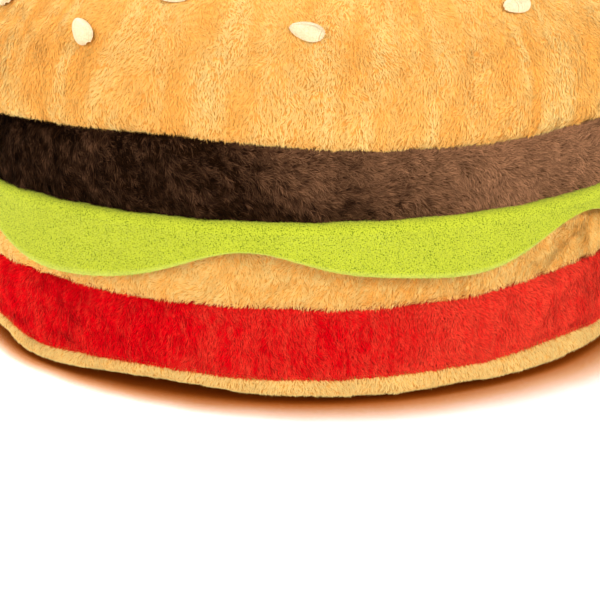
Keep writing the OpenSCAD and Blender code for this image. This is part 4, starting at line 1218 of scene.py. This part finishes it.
def stitch_line(share, half_long):
    """One thread over a seed, as its place along, across and up. share says how far along it lies."""
    across = np.linspace(-1, 1, thread_points)
    half_wide = seed_half_wide * math.sqrt(1 - share ** 2) * (1 - 0.22 * share)
    lift = 0.72 * half_wide * (1 - across ** 2) ** 0.5 - 0.25 * mm
    return np.stack([share * half_long + 0.08 * mm * across, half_wide * across, lift], 1)


def stitched(solid, random):
    """A seed's threads, and the padding under them that closes the view between them."""
    centre = solid.mean(0)
    long_way = np.linalg.svd(solid - centre)[2][0]
    half_long = (np.abs((solid - centre) @ long_way)).max()
    ladder = np.linspace(0, crown.length, 2000)
    r, z = crown.flat(ladder)[:2]
    up_at = ladder[np.argmin(np.hypot(r - math.hypot(centre[0], centre[1]), z - centre[2]))]
    here = np.array([math.atan2(centre[0], -centre[1])]), np.array([up_at])
    middle_spot = crown.place(*here, np.array([0.1 * mm]))[0]
    out_way = crown.outward(*here)[0]
    long_way = unit((long_way - out_way * (long_way @ out_way))[None])[0]
    own_frame = np.stack([long_way, np.cross(out_way, long_way), out_way])
    shares = np.linspace(-0.97, 0.97, stitches) + 0.008 * random.normal(size=stitches)
    lines = [stitch_line(share, half_long) for share in np.clip(shares, -0.98, 0.98)]
    padding = np.stack(lines[::3])
    padding[:, :, 2] -= 0.08 * mm
    threads = [tube(middle_spot + line @ own_frame, thread_r) for line in lines]
    cushion = middle_spot + padding.reshape(-1, 3) @ own_frame, quads(len(padding), thread_points)
    return threads + [cushion]


seed_thread = Finish("seed_thread")
strand = seed_thread.noise(0.25 * mm)
thread_tone = seed_thread.ramp(strand, (0.3, srgb(226, 200, 150)), (0.7, srgb(242, 224, 184)))
seed_thread.set(Base_Color=thread_tone, Roughness=0.38, Specular_IOR_Level=0.45, Sheen_Weight=0.15)
seed_thread.bump(strand, 0.05 * mm, 0.5)
threads = []
for number, solid in enumerate(seeds):
    threads += stitched(solid, np.random.default_rng(500 + number))
stitches_piece = new_mesh("sesame_stitches", *join(threads), seed_thread.material)
fitted(stitches_piece, "lid", "seed_thread", "sesame_seeds")
print("each seed has", stitches, "stitches")

# %% [markdown]
# ## Wadding
#
# Loose polyester wadding fills the crown, and rings of it pad the base and the patty. It is out
# of sight, but the model can be taken apart, so it gets its own lumpy form: a spun outline pushed
# about by noise. The rings stop either side of the hinge.

# %% Wadding
wadding_finish = Finish("wadding")
wisps = wadding_finish.noise(1.6 * mm, 5.0, 0.7)
wadding_tone = wadding_finish.ramp(wisps, (0.3, srgb(214, 212, 204)), (0.7, srgb(246, 245, 240)))
wadding_finish.set(Base_Color=wadding_tone, Roughness=1.0, Specular_IOR_Level=0.05, Sheen_Weight=0.3)
wadding_finish.bump(wisps, 1.2 * mm, 0.8)


def wadding(name, outline, body, node, gap=0.0, lump=0.35 * mm, columns=300):
    """A closed outline of radius and height, spun round, left open by a gap either side of the rear."""
    outline = np.array(outline)
    steps = np.linalg.norm(np.diff(np.vstack([outline, outline[:1]]), axis=0), axis=1)
    knots = np.concatenate([[0], np.cumsum(steps)])
    evenly = np.arange(0, knots[-1], 1.6 * mm)
    r, z = (np.interp(evenly, knots, np.append(outline[:, axis], outline[0, axis])) for axis in (0, 1))
    rows = len(evenly)
    azimuth = np.repeat(np.linspace(-np.pi + gap, np.pi - gap, columns, endpoint=gap > 0), rows)
    r, z = np.tile(r, columns), np.tile(z, columns)
    inward = unit(np.stack([outline[:, 0].mean() - r, outline[:, 1].mean() - z], 1))
    press = lump * (1 + smooth_noise(spun(r, azimuth, z), 5 * mm, 60)) + 0.1 * mm
    points = spun(r + inward[:, 0] * press, azimuth, z + inward[:, 1] * press)
    faces = quads(columns, rows, ring=not gap, loop=True, flipped=True).tolist()
    if gap:
        faces += [list(range(rows)), list(range((columns - 1) * rows, columns * rows))[::-1]]
    piece = fitted(many_sided(name, points, faces, wadding_finish.material), body, "foam", node)
    print(name, len(faces), "faces")


# %% [markdown]
# Each piece of wadding fills the room between a shell and its cover, and stays a little clear of
# both.

# %% Three fillings
shell_r = 67 * mm
room = 2.4 * mm
hinge_gap = math.asin((hinge_half + 2 * mm) / shell_r)
inner_r = shell_r + 0.4 * mm
base_top, patty_bottom = middle_high[2] - 2.6 * mm, patty_low[2] + 1.4 * mm
wadding("base_wadding", [
    [shell_r - 4 * mm, 2.2 * mm], [base_r - 6.5 * mm, 2.2 * mm], [base_r - room - 1.2 * mm, 4 * mm],
    [base_r - room, 6 * mm], [base_r - room, base_top], [inner_r, base_top], [inner_r, 8.2 * mm],
], "base", "base_padding", hinge_gap)
wadding("patty_wadding", [
    [inner_r, patty_bottom], [burger_r - 4 * mm, patty_bottom],
    [burger_r - 3.4 * mm, patty_low[2] + 6 * mm], [burger_r - 4.4 * mm, patty_high[2]],
    [inner_r, patty_high[2]],
], "lid", "patty_padding", hinge_gap)

arc = np.linspace(0, np.pi / 2, 24)
outside = dome(crown_r - 2.6 * mm, crown_h - 2.6 * mm, 24)
inside_h = crown_high[2] - 10 * mm - crown_low[2] + 0.4 * mm
inside = np.stack([inner_r * np.cos(arc), crown_low[2] + inside_h * np.sin(arc)], 1)
outside[-1, 0] = inside[-1, 0] = 0.2 * mm
rim = [[crown_r - 4.4 * mm, crown_low[2] + 0.2 * mm]]
wadding("crown_wadding", np.vstack([rim, outside, inside[::-1]]), "lid", "crown_filling")

# %% [markdown]
# ## Moulded plastic and metal
#
# The shells, the deck and the ear panel are injection-moulded. The mould is etched, which leaves
# a fine grain that hides scratches, and where hands rub it the gloss changes a little. Screws and
# springs are drawn metal with faint streaks. Both are patterns of noise: one moves the tone, one
# the roughness and one a bump.

# %% Plastics and metals
def moulded(name, colour, rough=0.45, grain=0.35 * mm, depth=0.03 * mm, tone=0.05):
    """Etched plastic with a faint flow of tone."""
    f = Finish(name)
    flow = f.range(f.noise(18 * mm), 1 - tone, 1 + tone)
    worn = f.range(f.noise(9 * mm, 3.0), rough - 0.06, rough + 0.06)
    f.set(Base_Color=f.times(colour, flow), Roughness=worn, Specular_IOR_Level=0.45)
    f.bump(f.noise(grain, 3.0, 0.6), depth, 0.6)
    return f.material


def metal(name, colour, rough=0.3, brushed=(1, 1, 1), size=0.3 * mm):
    """Bare metal with streaks along the way that it was drawn."""
    f = Finish(name)
    drawn = f.noise(size, 3.0, 0.6, stretch=brushed)
    streaks = f.ramp(drawn, (0.25, shade(colour, 0.82)), (0.75, colour))
    f.set(Base_Color=streaks, Roughness=f.range(drawn, rough - 0.08, rough + 0.12), Metallic=1.0)
    f.bump(drawn, 0.01 * mm, 0.4)
    return f.material


dark_plastic = moulded("dark_plastic", srgb(62, 40, 28), 0.42)
cream_plastic = moulded("cream_plastic", srgb(240, 230, 204), 0.34, grain=0.2 * mm, depth=0.01 * mm,
                        tone=0.03)
black_plastic = moulded("black_plastic", srgb(26, 26, 28), 0.4)
ink = moulded("key_print", srgb(58, 36, 26), 0.5, grain=0.15 * mm, depth=0.005 * mm)
rubber = moulded("black_rubber", srgb(30, 29, 28), 0.75, grain=0.25 * mm, depth=0.05 * mm)
silicone = moulded("silicone", srgb(150, 150, 154), 0.55, grain=0.5 * mm, depth=0.01 * mm)
foam_ring = moulded("foam_ring", srgb(64, 64, 68), 0.95, grain=0.4 * mm, depth=0.2 * mm, tone=0.15)
red_wire = moulded("red_wire", srgb(176, 24, 22), 0.4, grain=0.6 * mm, depth=0.01 * mm)
blue_wire = moulded("blue_wire", srgb(30, 48, 150), 0.4, grain=0.6 * mm, depth=0.01 * mm)
zinc = metal("zinc_steel", srgb(198, 198, 204), 0.32)
spring_steel = metal("spring_steel", srgb(170, 172, 178), 0.25, brushed=(1, 1, 0.2))
brass = metal("brass", srgb(222, 178, 96), 0.28)
gold = metal("gold_plate", srgb(236, 196, 110), 0.2)
print("materials so far:", len(bpy.data.materials))

# %% [markdown]
# The pad under the base is rubber with a pattern of small domes, which grip the table. The
# circuit board is green lacquer over copper: the tracks show through as paler lines, made here
# from a brick pattern's mortar.

# %% Pad and board
dome_pitch = 2.4 * mm
grip = Finish("grip_rubber")
cells = {"Vector": grip.place(), "Scale": 1 / dome_pitch, "Randomness": 0.0}
domes = grip.node("ShaderNodeTexVoronoi", cells).outputs["Distance"]
dusty = grip.noise(5 * mm, 4.0)
grip.set(Base_Color=grip.ramp(dusty, (0.3, srgb(26, 25, 24)), (0.8, srgb(46, 44, 42))), Roughness=0.8,
         Specular_IOR_Level=0.3)
grip.bump(grip.ramp(domes, (0.1, (1, 1, 1, 1)), (0.5, (0, 0, 0, 1))), 0.3 * mm, 0.8)

board_green = Finish("board_green")
bricks = {"Vector": board_green.place(), "Scale": 1.0, "Mortar Size": 0.35 * mm, "Brick Width": 9 * mm,
          "Row Height": 2.2 * mm, "Color1": (0, 0, 0, 1), "Color2": (0, 0, 0, 1), "Mortar": (1, 1, 1, 1)}
tracks = board_green.node("ShaderNodeTexBrick", bricks).outputs["Color"]
lacquer = board_green.mix(tracks, srgb(16, 84, 46), srgb(46, 132, 78))
board_green.set(Base_Color=lacquer, Roughness=0.3, Specular_IOR_Level=0.5)
board_green.bump(tracks, 0.05 * mm, 0.6)
print("the pad's domes stand", round(dome_pitch / mm, 1), "mm apart")

# %% [markdown]
# ## Finishes of the packed parts
#
# Most working parts are shown as they were packed, so they only need a finish. Every edge of a
# moulding has a small radius, because a mould can't be cut to a knife edge. A bevel adds it to
# the packed part and leaves its own mesh alone.

# %% Packed parts
finishes = {
    dark_plastic: ["base_shell", "deck", "rear_plate", "lid_shell", "ear_panel"],
    cream_plastic: ["hook_plunger", "ringer_slider", "tone_slider"],
    black_plastic: ["board_parts", "hook_switch", "ringer", "modular_jack", "receiver"],
    rubber: ["microphone_boot", "lid_bumpers"],
    silicone: ["key_mat"],
    foam_ring: ["receiver_seal"],
    zinc: ["board_screws", "bracket_screws", "hinge_pin", "slide_switch_bodies", "receiver_bracket"],
    spring_steel: ["hook_spring"],
    brass: ["microphone"],
    red_wire: ["board_leads"],
    blue_wire: ["receiver_leads"],
    grip.material: ["non_slip_pad"],
    board_green.material: ["circuit_board"],
}
for finish, names in finishes.items():
    for name in names:
        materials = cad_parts[name].data.materials
        materials.clear()
        materials.append(finish)
for name in ("base_shell", "deck", "rear_plate", "ear_panel", "hook_plunger", "ringer_slider",
             "tone_slider"):
    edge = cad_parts[name].modifiers.new("mould radius", "BEVEL")
    edge.width = 0.25 * mm
    edge.segments = 2
    edge.limit_method = "ANGLE"
    edge.angle_limit = math.radians(50)
    edge.harden_normals = True
print("finished", sum(len(names) for names in finishes.values()), "packed parts")

# %% [markdown]
# ## Keys
#
# A key cap is dished to centre the finger. It is built as a stack of rounded outlines: the flange
# that holds it under the deck, the walls with a little draft so that it leaves its mould, the
# rounded edge, and the dish. The height of the dish is one formula, so that the printed sign can
# be laid on it too.

# %% Key forms
flange_x, flange_y, flange_t = 1.4 * mm, 1.1 * mm, 1.2 * mm
cap_corner, dish, face_inset = 2 * mm, 0.28 * mm, 0.72 * mm


def rounded(w, d, corner, count=8):
    """A rounded oblong as points, anticlockwise."""
    spots = []
    for quarter, (sx, sy) in enumerate(((1, 1), (-1, 1), (-1, -1), (1, -1))):
        for turn in np.linspace(0, math.pi / 2, count) + quarter * math.pi / 2:
            spots.append([sx * (w / 2 - corner) + corner * math.cos(turn),
                          sy * (d / 2 - corner) + corner * math.sin(turn)])
    return np.array(spots)


def dished(flat, w, d, top):
    """Height of a key's face at points on it. w and d are the size of the dish."""
    x, y = flat[:, 0], flat[:, 1]
    return top - dish * np.clip(1 - (2 * x / w) ** 2 - (2 * y / d) ** 2, 0, 1)


def lofted(name, loops, material):
    """A closed body through a stack of loops that have the same number of points."""
    levels, count = len(loops), len(loops[0])
    sides = quads(levels, count, loop=True, flipped=True).tolist()
    faces = [list(range(count))[::-1]] + sides + [list(range((levels - 1) * count, levels * count))]
    piece = many_sided(name, np.vstack(loops), faces, material)
    piece.data.set_sharp_from_angle(angle=math.radians(35))
    return piece


def key_outlines(w, d, low_z, top, centre):
    """The outlines of a key from its flange up, and then in over its dished face."""
    flange_z = low_z + flange_t
    levels = [(flange_x - 0.1 * mm, low_z), (flange_x, low_z + 0.15 * mm), (flange_x, flange_z - 0.1 * mm),
              (flange_x - 0.1 * mm, flange_z), (0.1 * mm, flange_z), (0, flange_z + 0.1 * mm),
              (-0.12 * mm, top - 0.7 * mm), (-0.22 * mm, top - 0.35 * mm), (-0.42 * mm, top - 0.12 * mm),
              (-face_inset, top)]
    loops = []
    for grow, z in levels:
        grow_y = grow * flange_y / flange_x if grow > 0 else grow
        flat = rounded(w + 2 * grow, d + 2 * grow_y, max(cap_corner + grow, 0.6 * mm))
        loops.append(np.column_stack([flat + centre, np.full(len(flat), z)]))
    face_w, face_d = w - 2 * face_inset, d - 2 * face_inset
    for share in (0.85, 0.65, 0.42, 0.2):
        flat = rounded(face_w * share, face_d * share, (cap_corner - face_inset) * share)
        loops.append(np.column_stack([flat + centre, dished(flat, face_w, face_d, top)]))
    return loops


print("a key's flange is", flange_t / mm, "mm thick")

# %% [markdown]
# The signs are printed on the caps. Blender's own letters become a thin mesh, which is centred,
# laid on the dish and moved to its key. The star is set larger, because that letter is small in
# its font.

# %% Keys and signs
signs = {"star": "*", "hash": "#"}
key_names = [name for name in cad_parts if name.startswith("key_") and name != "key_mat"]


def printed(name, word):
    """Thin letters as a mesh, centred on the origin."""
    text = bpy.data.curves.new(name, "FONT")
    text.body = word
    text.size = 9 * mm if word == "*" else 6.2 * mm
    text.align_x, text.align_y = "CENTER", "CENTER"
    text.extrude = 0.03 * mm
    text.resolution_u = 3
    lettering = shown(name + "_curve", text)
    mesh = bpy.data.meshes.new_from_object(lettering.evaluated_get(bpy.context.evaluated_depsgraph_get()))
    bpy.data.objects.remove(lettering)
    flat = np.empty(3 * len(mesh.vertices))
    mesh.vertices.foreach_get("co", flat)
    flat = flat.reshape(-1, 3)
    return mesh, flat - (flat.min(0) + flat.max(0)) / 2


for name in key_names:
    low, high = (np.array(corner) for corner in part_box(name))
    centre, top = ((low + high) / 2)[:2], high[2]
    w, d = high[0] - low[0] - 2 * flange_x, high[1] - low[1] - 2 * flange_y
    cap = lofted(name + "_top", key_outlines(w, d, low[2], top, centre), cream_plastic)
    fitted(cap, name + "_cap", "cream_plastic", name)

    mesh, flat = printed(name + "_sign", signs.get(name[4:], name[4:]))
    flat[:, 2] += dished(flat, w - 2 * face_inset, d - 2 * face_inset, top) + 0.02 * mm
    flat[:, :2] += centre
    mesh.vertices.foreach_set("co", flat.ravel())
    mesh.materials.clear()
    mesh.materials.append(ink)
    fitted(shown(name + "_sign", mesh), name + "_cap", "dark_plastic")
print("keys:", len(key_names))

# %% [markdown]
# ## Screws
#
# The screws that can be seen are pan heads with a cross recess. A head is a grid of rings whose
# height is worked out at each point: a dome, less the cross. The thread is a shank whose radius
# rises and falls twice along each lead, as on a screw with two starts: one turn drives it in by
# the lead. Places and sizes are read from the packed screws.

# %% Screw forms
thread_lead = 0.7 * mm


def cross_head(r, t, deep, rings=14, spokes=64):
    """Points and faces of a domed head on z = 0 with a cross recess, and its rim."""
    share = np.concatenate([np.linspace(0.02, 0.94, rings), [0.98, 1.0, 1.0]])
    rise = np.sqrt(np.clip(1 - (0.86 * share) ** 2, 0, 1)) - math.sqrt(1 - 0.86 ** 2)
    z = 0.45 * t + 0.55 * t * rise / rise[0]
    z[-1] = 0
    turn = np.linspace(0, 2 * np.pi, spokes, endpoint=False)
    x, y = np.outer(share, np.cos(turn)) * r, np.outer(share, np.sin(turn)) * r
    height = np.repeat(z[:, None], spokes, 1)
    arm, reach = 0.15 * r, 0.58 * r
    in_cross = ((np.abs(x) < arm) & (np.abs(y) < reach)) | ((np.abs(y) < arm) & (np.abs(x) < reach))
    height = np.where(in_cross, np.minimum(height, height - deep), height)
    return np.stack([x, y, height], 2).reshape(-1, 3), quads(len(share), spokes, loop=True)


def threaded(r, length, sides=20):
    """Points and faces of a threaded shank from z = 0 down, which ends in a point."""
    along = np.linspace(0, length, int(length / (0.12 * mm)))
    turn = np.linspace(0, 2 * np.pi, sides, endpoint=False)
    crest = 0.86 + 0.14 * np.cos(2 * np.pi * along[:, None] / thread_lead - turn[None]) ** 2
    crest[-4:] *= np.linspace(0.9, 0.1, 4)[:, None]
    ring_r = r * crest
    z = np.repeat(-along[:, None], sides, 1)
    points = np.stack([ring_r * np.cos(turn), ring_r * np.sin(turn), z], 2).reshape(-1, 3)
    return points, quads(len(along), sides, loop=True, flipped=True)


print("a head has", len(cross_head(2 * mm, mm, 0.5 * mm)[1]), "faces")

# %% [markdown]
# A packed screw is a plain solid with its head towards one side. Its widest point gives the
# head's radius, its far end the shank's, and its two ends the length.

# %% Screws
def screws(node, body, outward, head_t):
    """Threaded screws with cross heads in place of a packed node's. outward is the way that heads face."""
    outward = np.array(outward, float)
    first = unit(np.cross(outward, [0.2, 0.9, 0.3])[None])[0]
    own_frame = np.stack([first, np.cross(outward, first), outward])

    def radius(spots):
        return np.linalg.norm(spots - np.outer(spots @ outward, outward), axis=1).max()

    parts = []
    for number, solid in enumerate(solids_of(node)):
        level = (solid @ outward).max()
        centre = (solid.min(0) + solid.max(0)) / 2
        centre = centre + outward * (level - centre @ outward)
        length = level - (solid @ outward).min()
        far = solid[(solid @ outward) < level - 0.7 * length]
        head_r, shank_r = radius(solid - centre), radius(far - centre)
        points, faces = cross_head(head_r, head_t, 0.55 * head_t)
        cos, sin = math.cos(0.7 * number), math.sin(0.7 * number)
        points = points @ np.array([[cos, sin, 0], [-sin, cos, 0], [0, 0, 1]])
        seat = centre - outward * head_t
        parts.append((seat + points @ own_frame, faces))
        points, faces = threaded(shank_r, length - head_t)
        parts.append((seat + points @ own_frame, faces))
    piece = new_mesh(node + "_cross", *join(parts), zinc)
    piece.data.set_sharp_from_angle(angle=math.radians(40))
    fitted(piece, body, "steel", node)
    print(node, "heads:", len(parts) // 2)


screws("deck_screws", "base", (0, 0, -1), 1.4 * mm)
screws("lid_screws", "lid", (0, 0, -1), 1.0 * mm)
screws("rear_plate_screws", "base", (0, 1, 0), 1.2 * mm)

# %% [markdown]
# ## The line socket
#
# Inside a modular socket, gold-plated spring wires lean down into the opening, where they meet
# the plug. They are what makes a plain hole read as a telephone socket.

# %% Contacts
jack_low, jack_high = (np.array(corner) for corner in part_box("modular_jack"))
roof = (jack_low[2] + jack_high[2]) / 2 + 3.2 * mm
front = jack_high[1] - 1.2 * mm
wire_pitch, wire_r = 1.27 * mm, 0.22 * mm
bends = np.array([[8.8 * mm, 3.4 * mm], [5 * mm, 1.9 * mm], [1.2 * mm, 0.4 * mm], [0.5 * mm, 0.05 * mm],
                  [0, -0.1 * mm]])
even = np.linspace(0, len(bends) - 1, 17)
back, drop = (np.interp(even, np.arange(len(bends)), bends[:, axis]) for axis in (0, 1))
wires = [tube(np.stack([np.full(17, (i - 1.5) * wire_pitch), front - back, roof - drop], 1), wire_r, 8)
         for i in range(4)]
fitted(new_mesh("socket_contacts", *join(wires), gold), "base", "steel")
print("contacts:", len(wires))

# %% [markdown]
# ## The table
#
# A white table, plain to the eye. Near the burger it is seldom lit by the lamps: it sees the buns instead,
# and turns the warm brown of their plush. Few bounces of light reach so far under the heel, so a painted
# shadow does part of that work: the table's colour turns dark and warm brown from how closed in each spot
# of the table is, a painted shadow tinted as painted bounce from the buns. The painted shadow reaches
# further on the right of the burger than on its left. Open parts glow a little too, so that they are seen
# as white, but only by the eye: no light from that glow falls on the burger, and near the burger the glow
# fades, which deepens the painted shadow.

# %% Table
table_half = 6
corners = [(-table_half, -table_half, 0), (table_half, -table_half, 0), (table_half, table_half, 0),
           (-table_half, table_half, 0)]
paper = Finish("white_table")
table = many_sided("table", np.array(corners, float), [(0, 1, 2, 3)], paper.material)

# the painted shadow reaches 6.5 mm on the left of the burger and 18 mm on its right
across = paper.node("ShaderNodeSeparateXYZ", {0: paper.place()}).outputs["X"]
reach = paper.node("ShaderNodeMapRange", {"Value": across, "From Min": -60 * mm, "From Max": 60 * mm,
                                          "To Min": 6.5 * mm, "To Max": 18 * mm}).outputs["Result"]
openness = paper.node("ShaderNodeAmbientOcclusion", {"Distance": reach}, samples=8).outputs["AO"]
# painted shadow: dark warm brown where the table is closed in, white in the open, tinted as painted bounce
# from the buns
painted_shadow_colour = paper.ramp(openness, (0.30, (0.2, 0.04, 0.003, 1)), (0.5, (0.5, 0.14, 0.028, 1)),
                  (0.64, (0.8, 0.37, 0.15, 1)), (0.77, (0.95, 0.66, 0.43, 1)), (0.9, (0.92, 0.92, 0.92, 1)))
paper.set(Base_Color=painted_shadow_colour, Roughness=1.0, Specular_IOR_Level=0.0)
open_air = paper.ramp(openness, (0.7, (0, 0, 0, 1)), (0.95, (1, 1, 1, 1)))
strength = paper.maths("MULTIPLY", open_air, 0.6)
glow = paper.node("ShaderNodeEmission", {"Color": (1, 1, 1, 1), "Strength": strength})
lift = paper.node("ShaderNodeAddShader", {0: paper.shader.outputs[0], 1: glow.outputs[0]})
plain = paper.node("ShaderNodeBsdfDiffuse", {"Color": (0.84, 0.84, 0.84, 1)})
choice = paper.node("ShaderNodeMixShader", {0: paper.seen(), 1: plain.outputs[0], 2: lift.outputs[0]})
paper.feed(paper.tree.nodes["Material Output"].inputs["Surface"], choice.outputs[0])
print("the table is", 2 * table_half, "m wide")

# %% [markdown]
# ## Light
#
# Three large soft lamps: one from the right that shapes the layers, a weaker one from the left,
# and one overhead and a little behind, which lays a soft shadow in front of the burger. The sky
# fills the rest, and the eye sees it as plain white.

# %% Lamps and sky
world = bpy.data.worlds.new("studio")
bpy.context.scene.world = world
air = Nodes(world)
sky = air.tree.nodes["Background"]
air.feed(sky.inputs["Color"], (1, 1, 1, 1))
air.feed(sky.inputs["Strength"], 0.45)
white = air.node("ShaderNodeBackground", {"Color": (1, 1, 1, 1), "Strength": 1.0})
pick = air.node("ShaderNodeMixShader", {0: air.seen(), 1: sky.outputs[0], 2: white.outputs[0]})
air.feed(air.tree.nodes["World Output"].inputs["Surface"], pick.outputs[0])


def lamp(name, spot, size, watts, aim=(0, 0, 0.03)):
    """A soft square lamp that looks at a point."""
    data = bpy.data.lights.new(name, "AREA")
    data.size = size
    data.energy = watts
    made = shown(name, data)
    made.location = spot
    way = np.array(aim) - np.array(spot)
    tilt = math.atan2(math.hypot(way[0], way[1]), -way[2])
    made.rotation_euler = (tilt, 0, math.atan2(way[0], -way[1]) + math.pi)
    print(name, "lamp:", watts, "W")


lamp("right", (0.6, -0.5, 0.4), 0.4, 5.3)
lamp("left", (-0.6, -0.6, 0.3), 0.5, 4.5)
lamp("overhead", (-0.35, 0.3, 0.65), 0.55, 5.3)
bpy.context.scene.view_settings.view_transform = "Standard"

# %% [markdown]
# ## The size of the dressed model
#
# Fibres stand off the packed covers by about a millimetre, so the dressed model is about that much larger
# than the packed one.
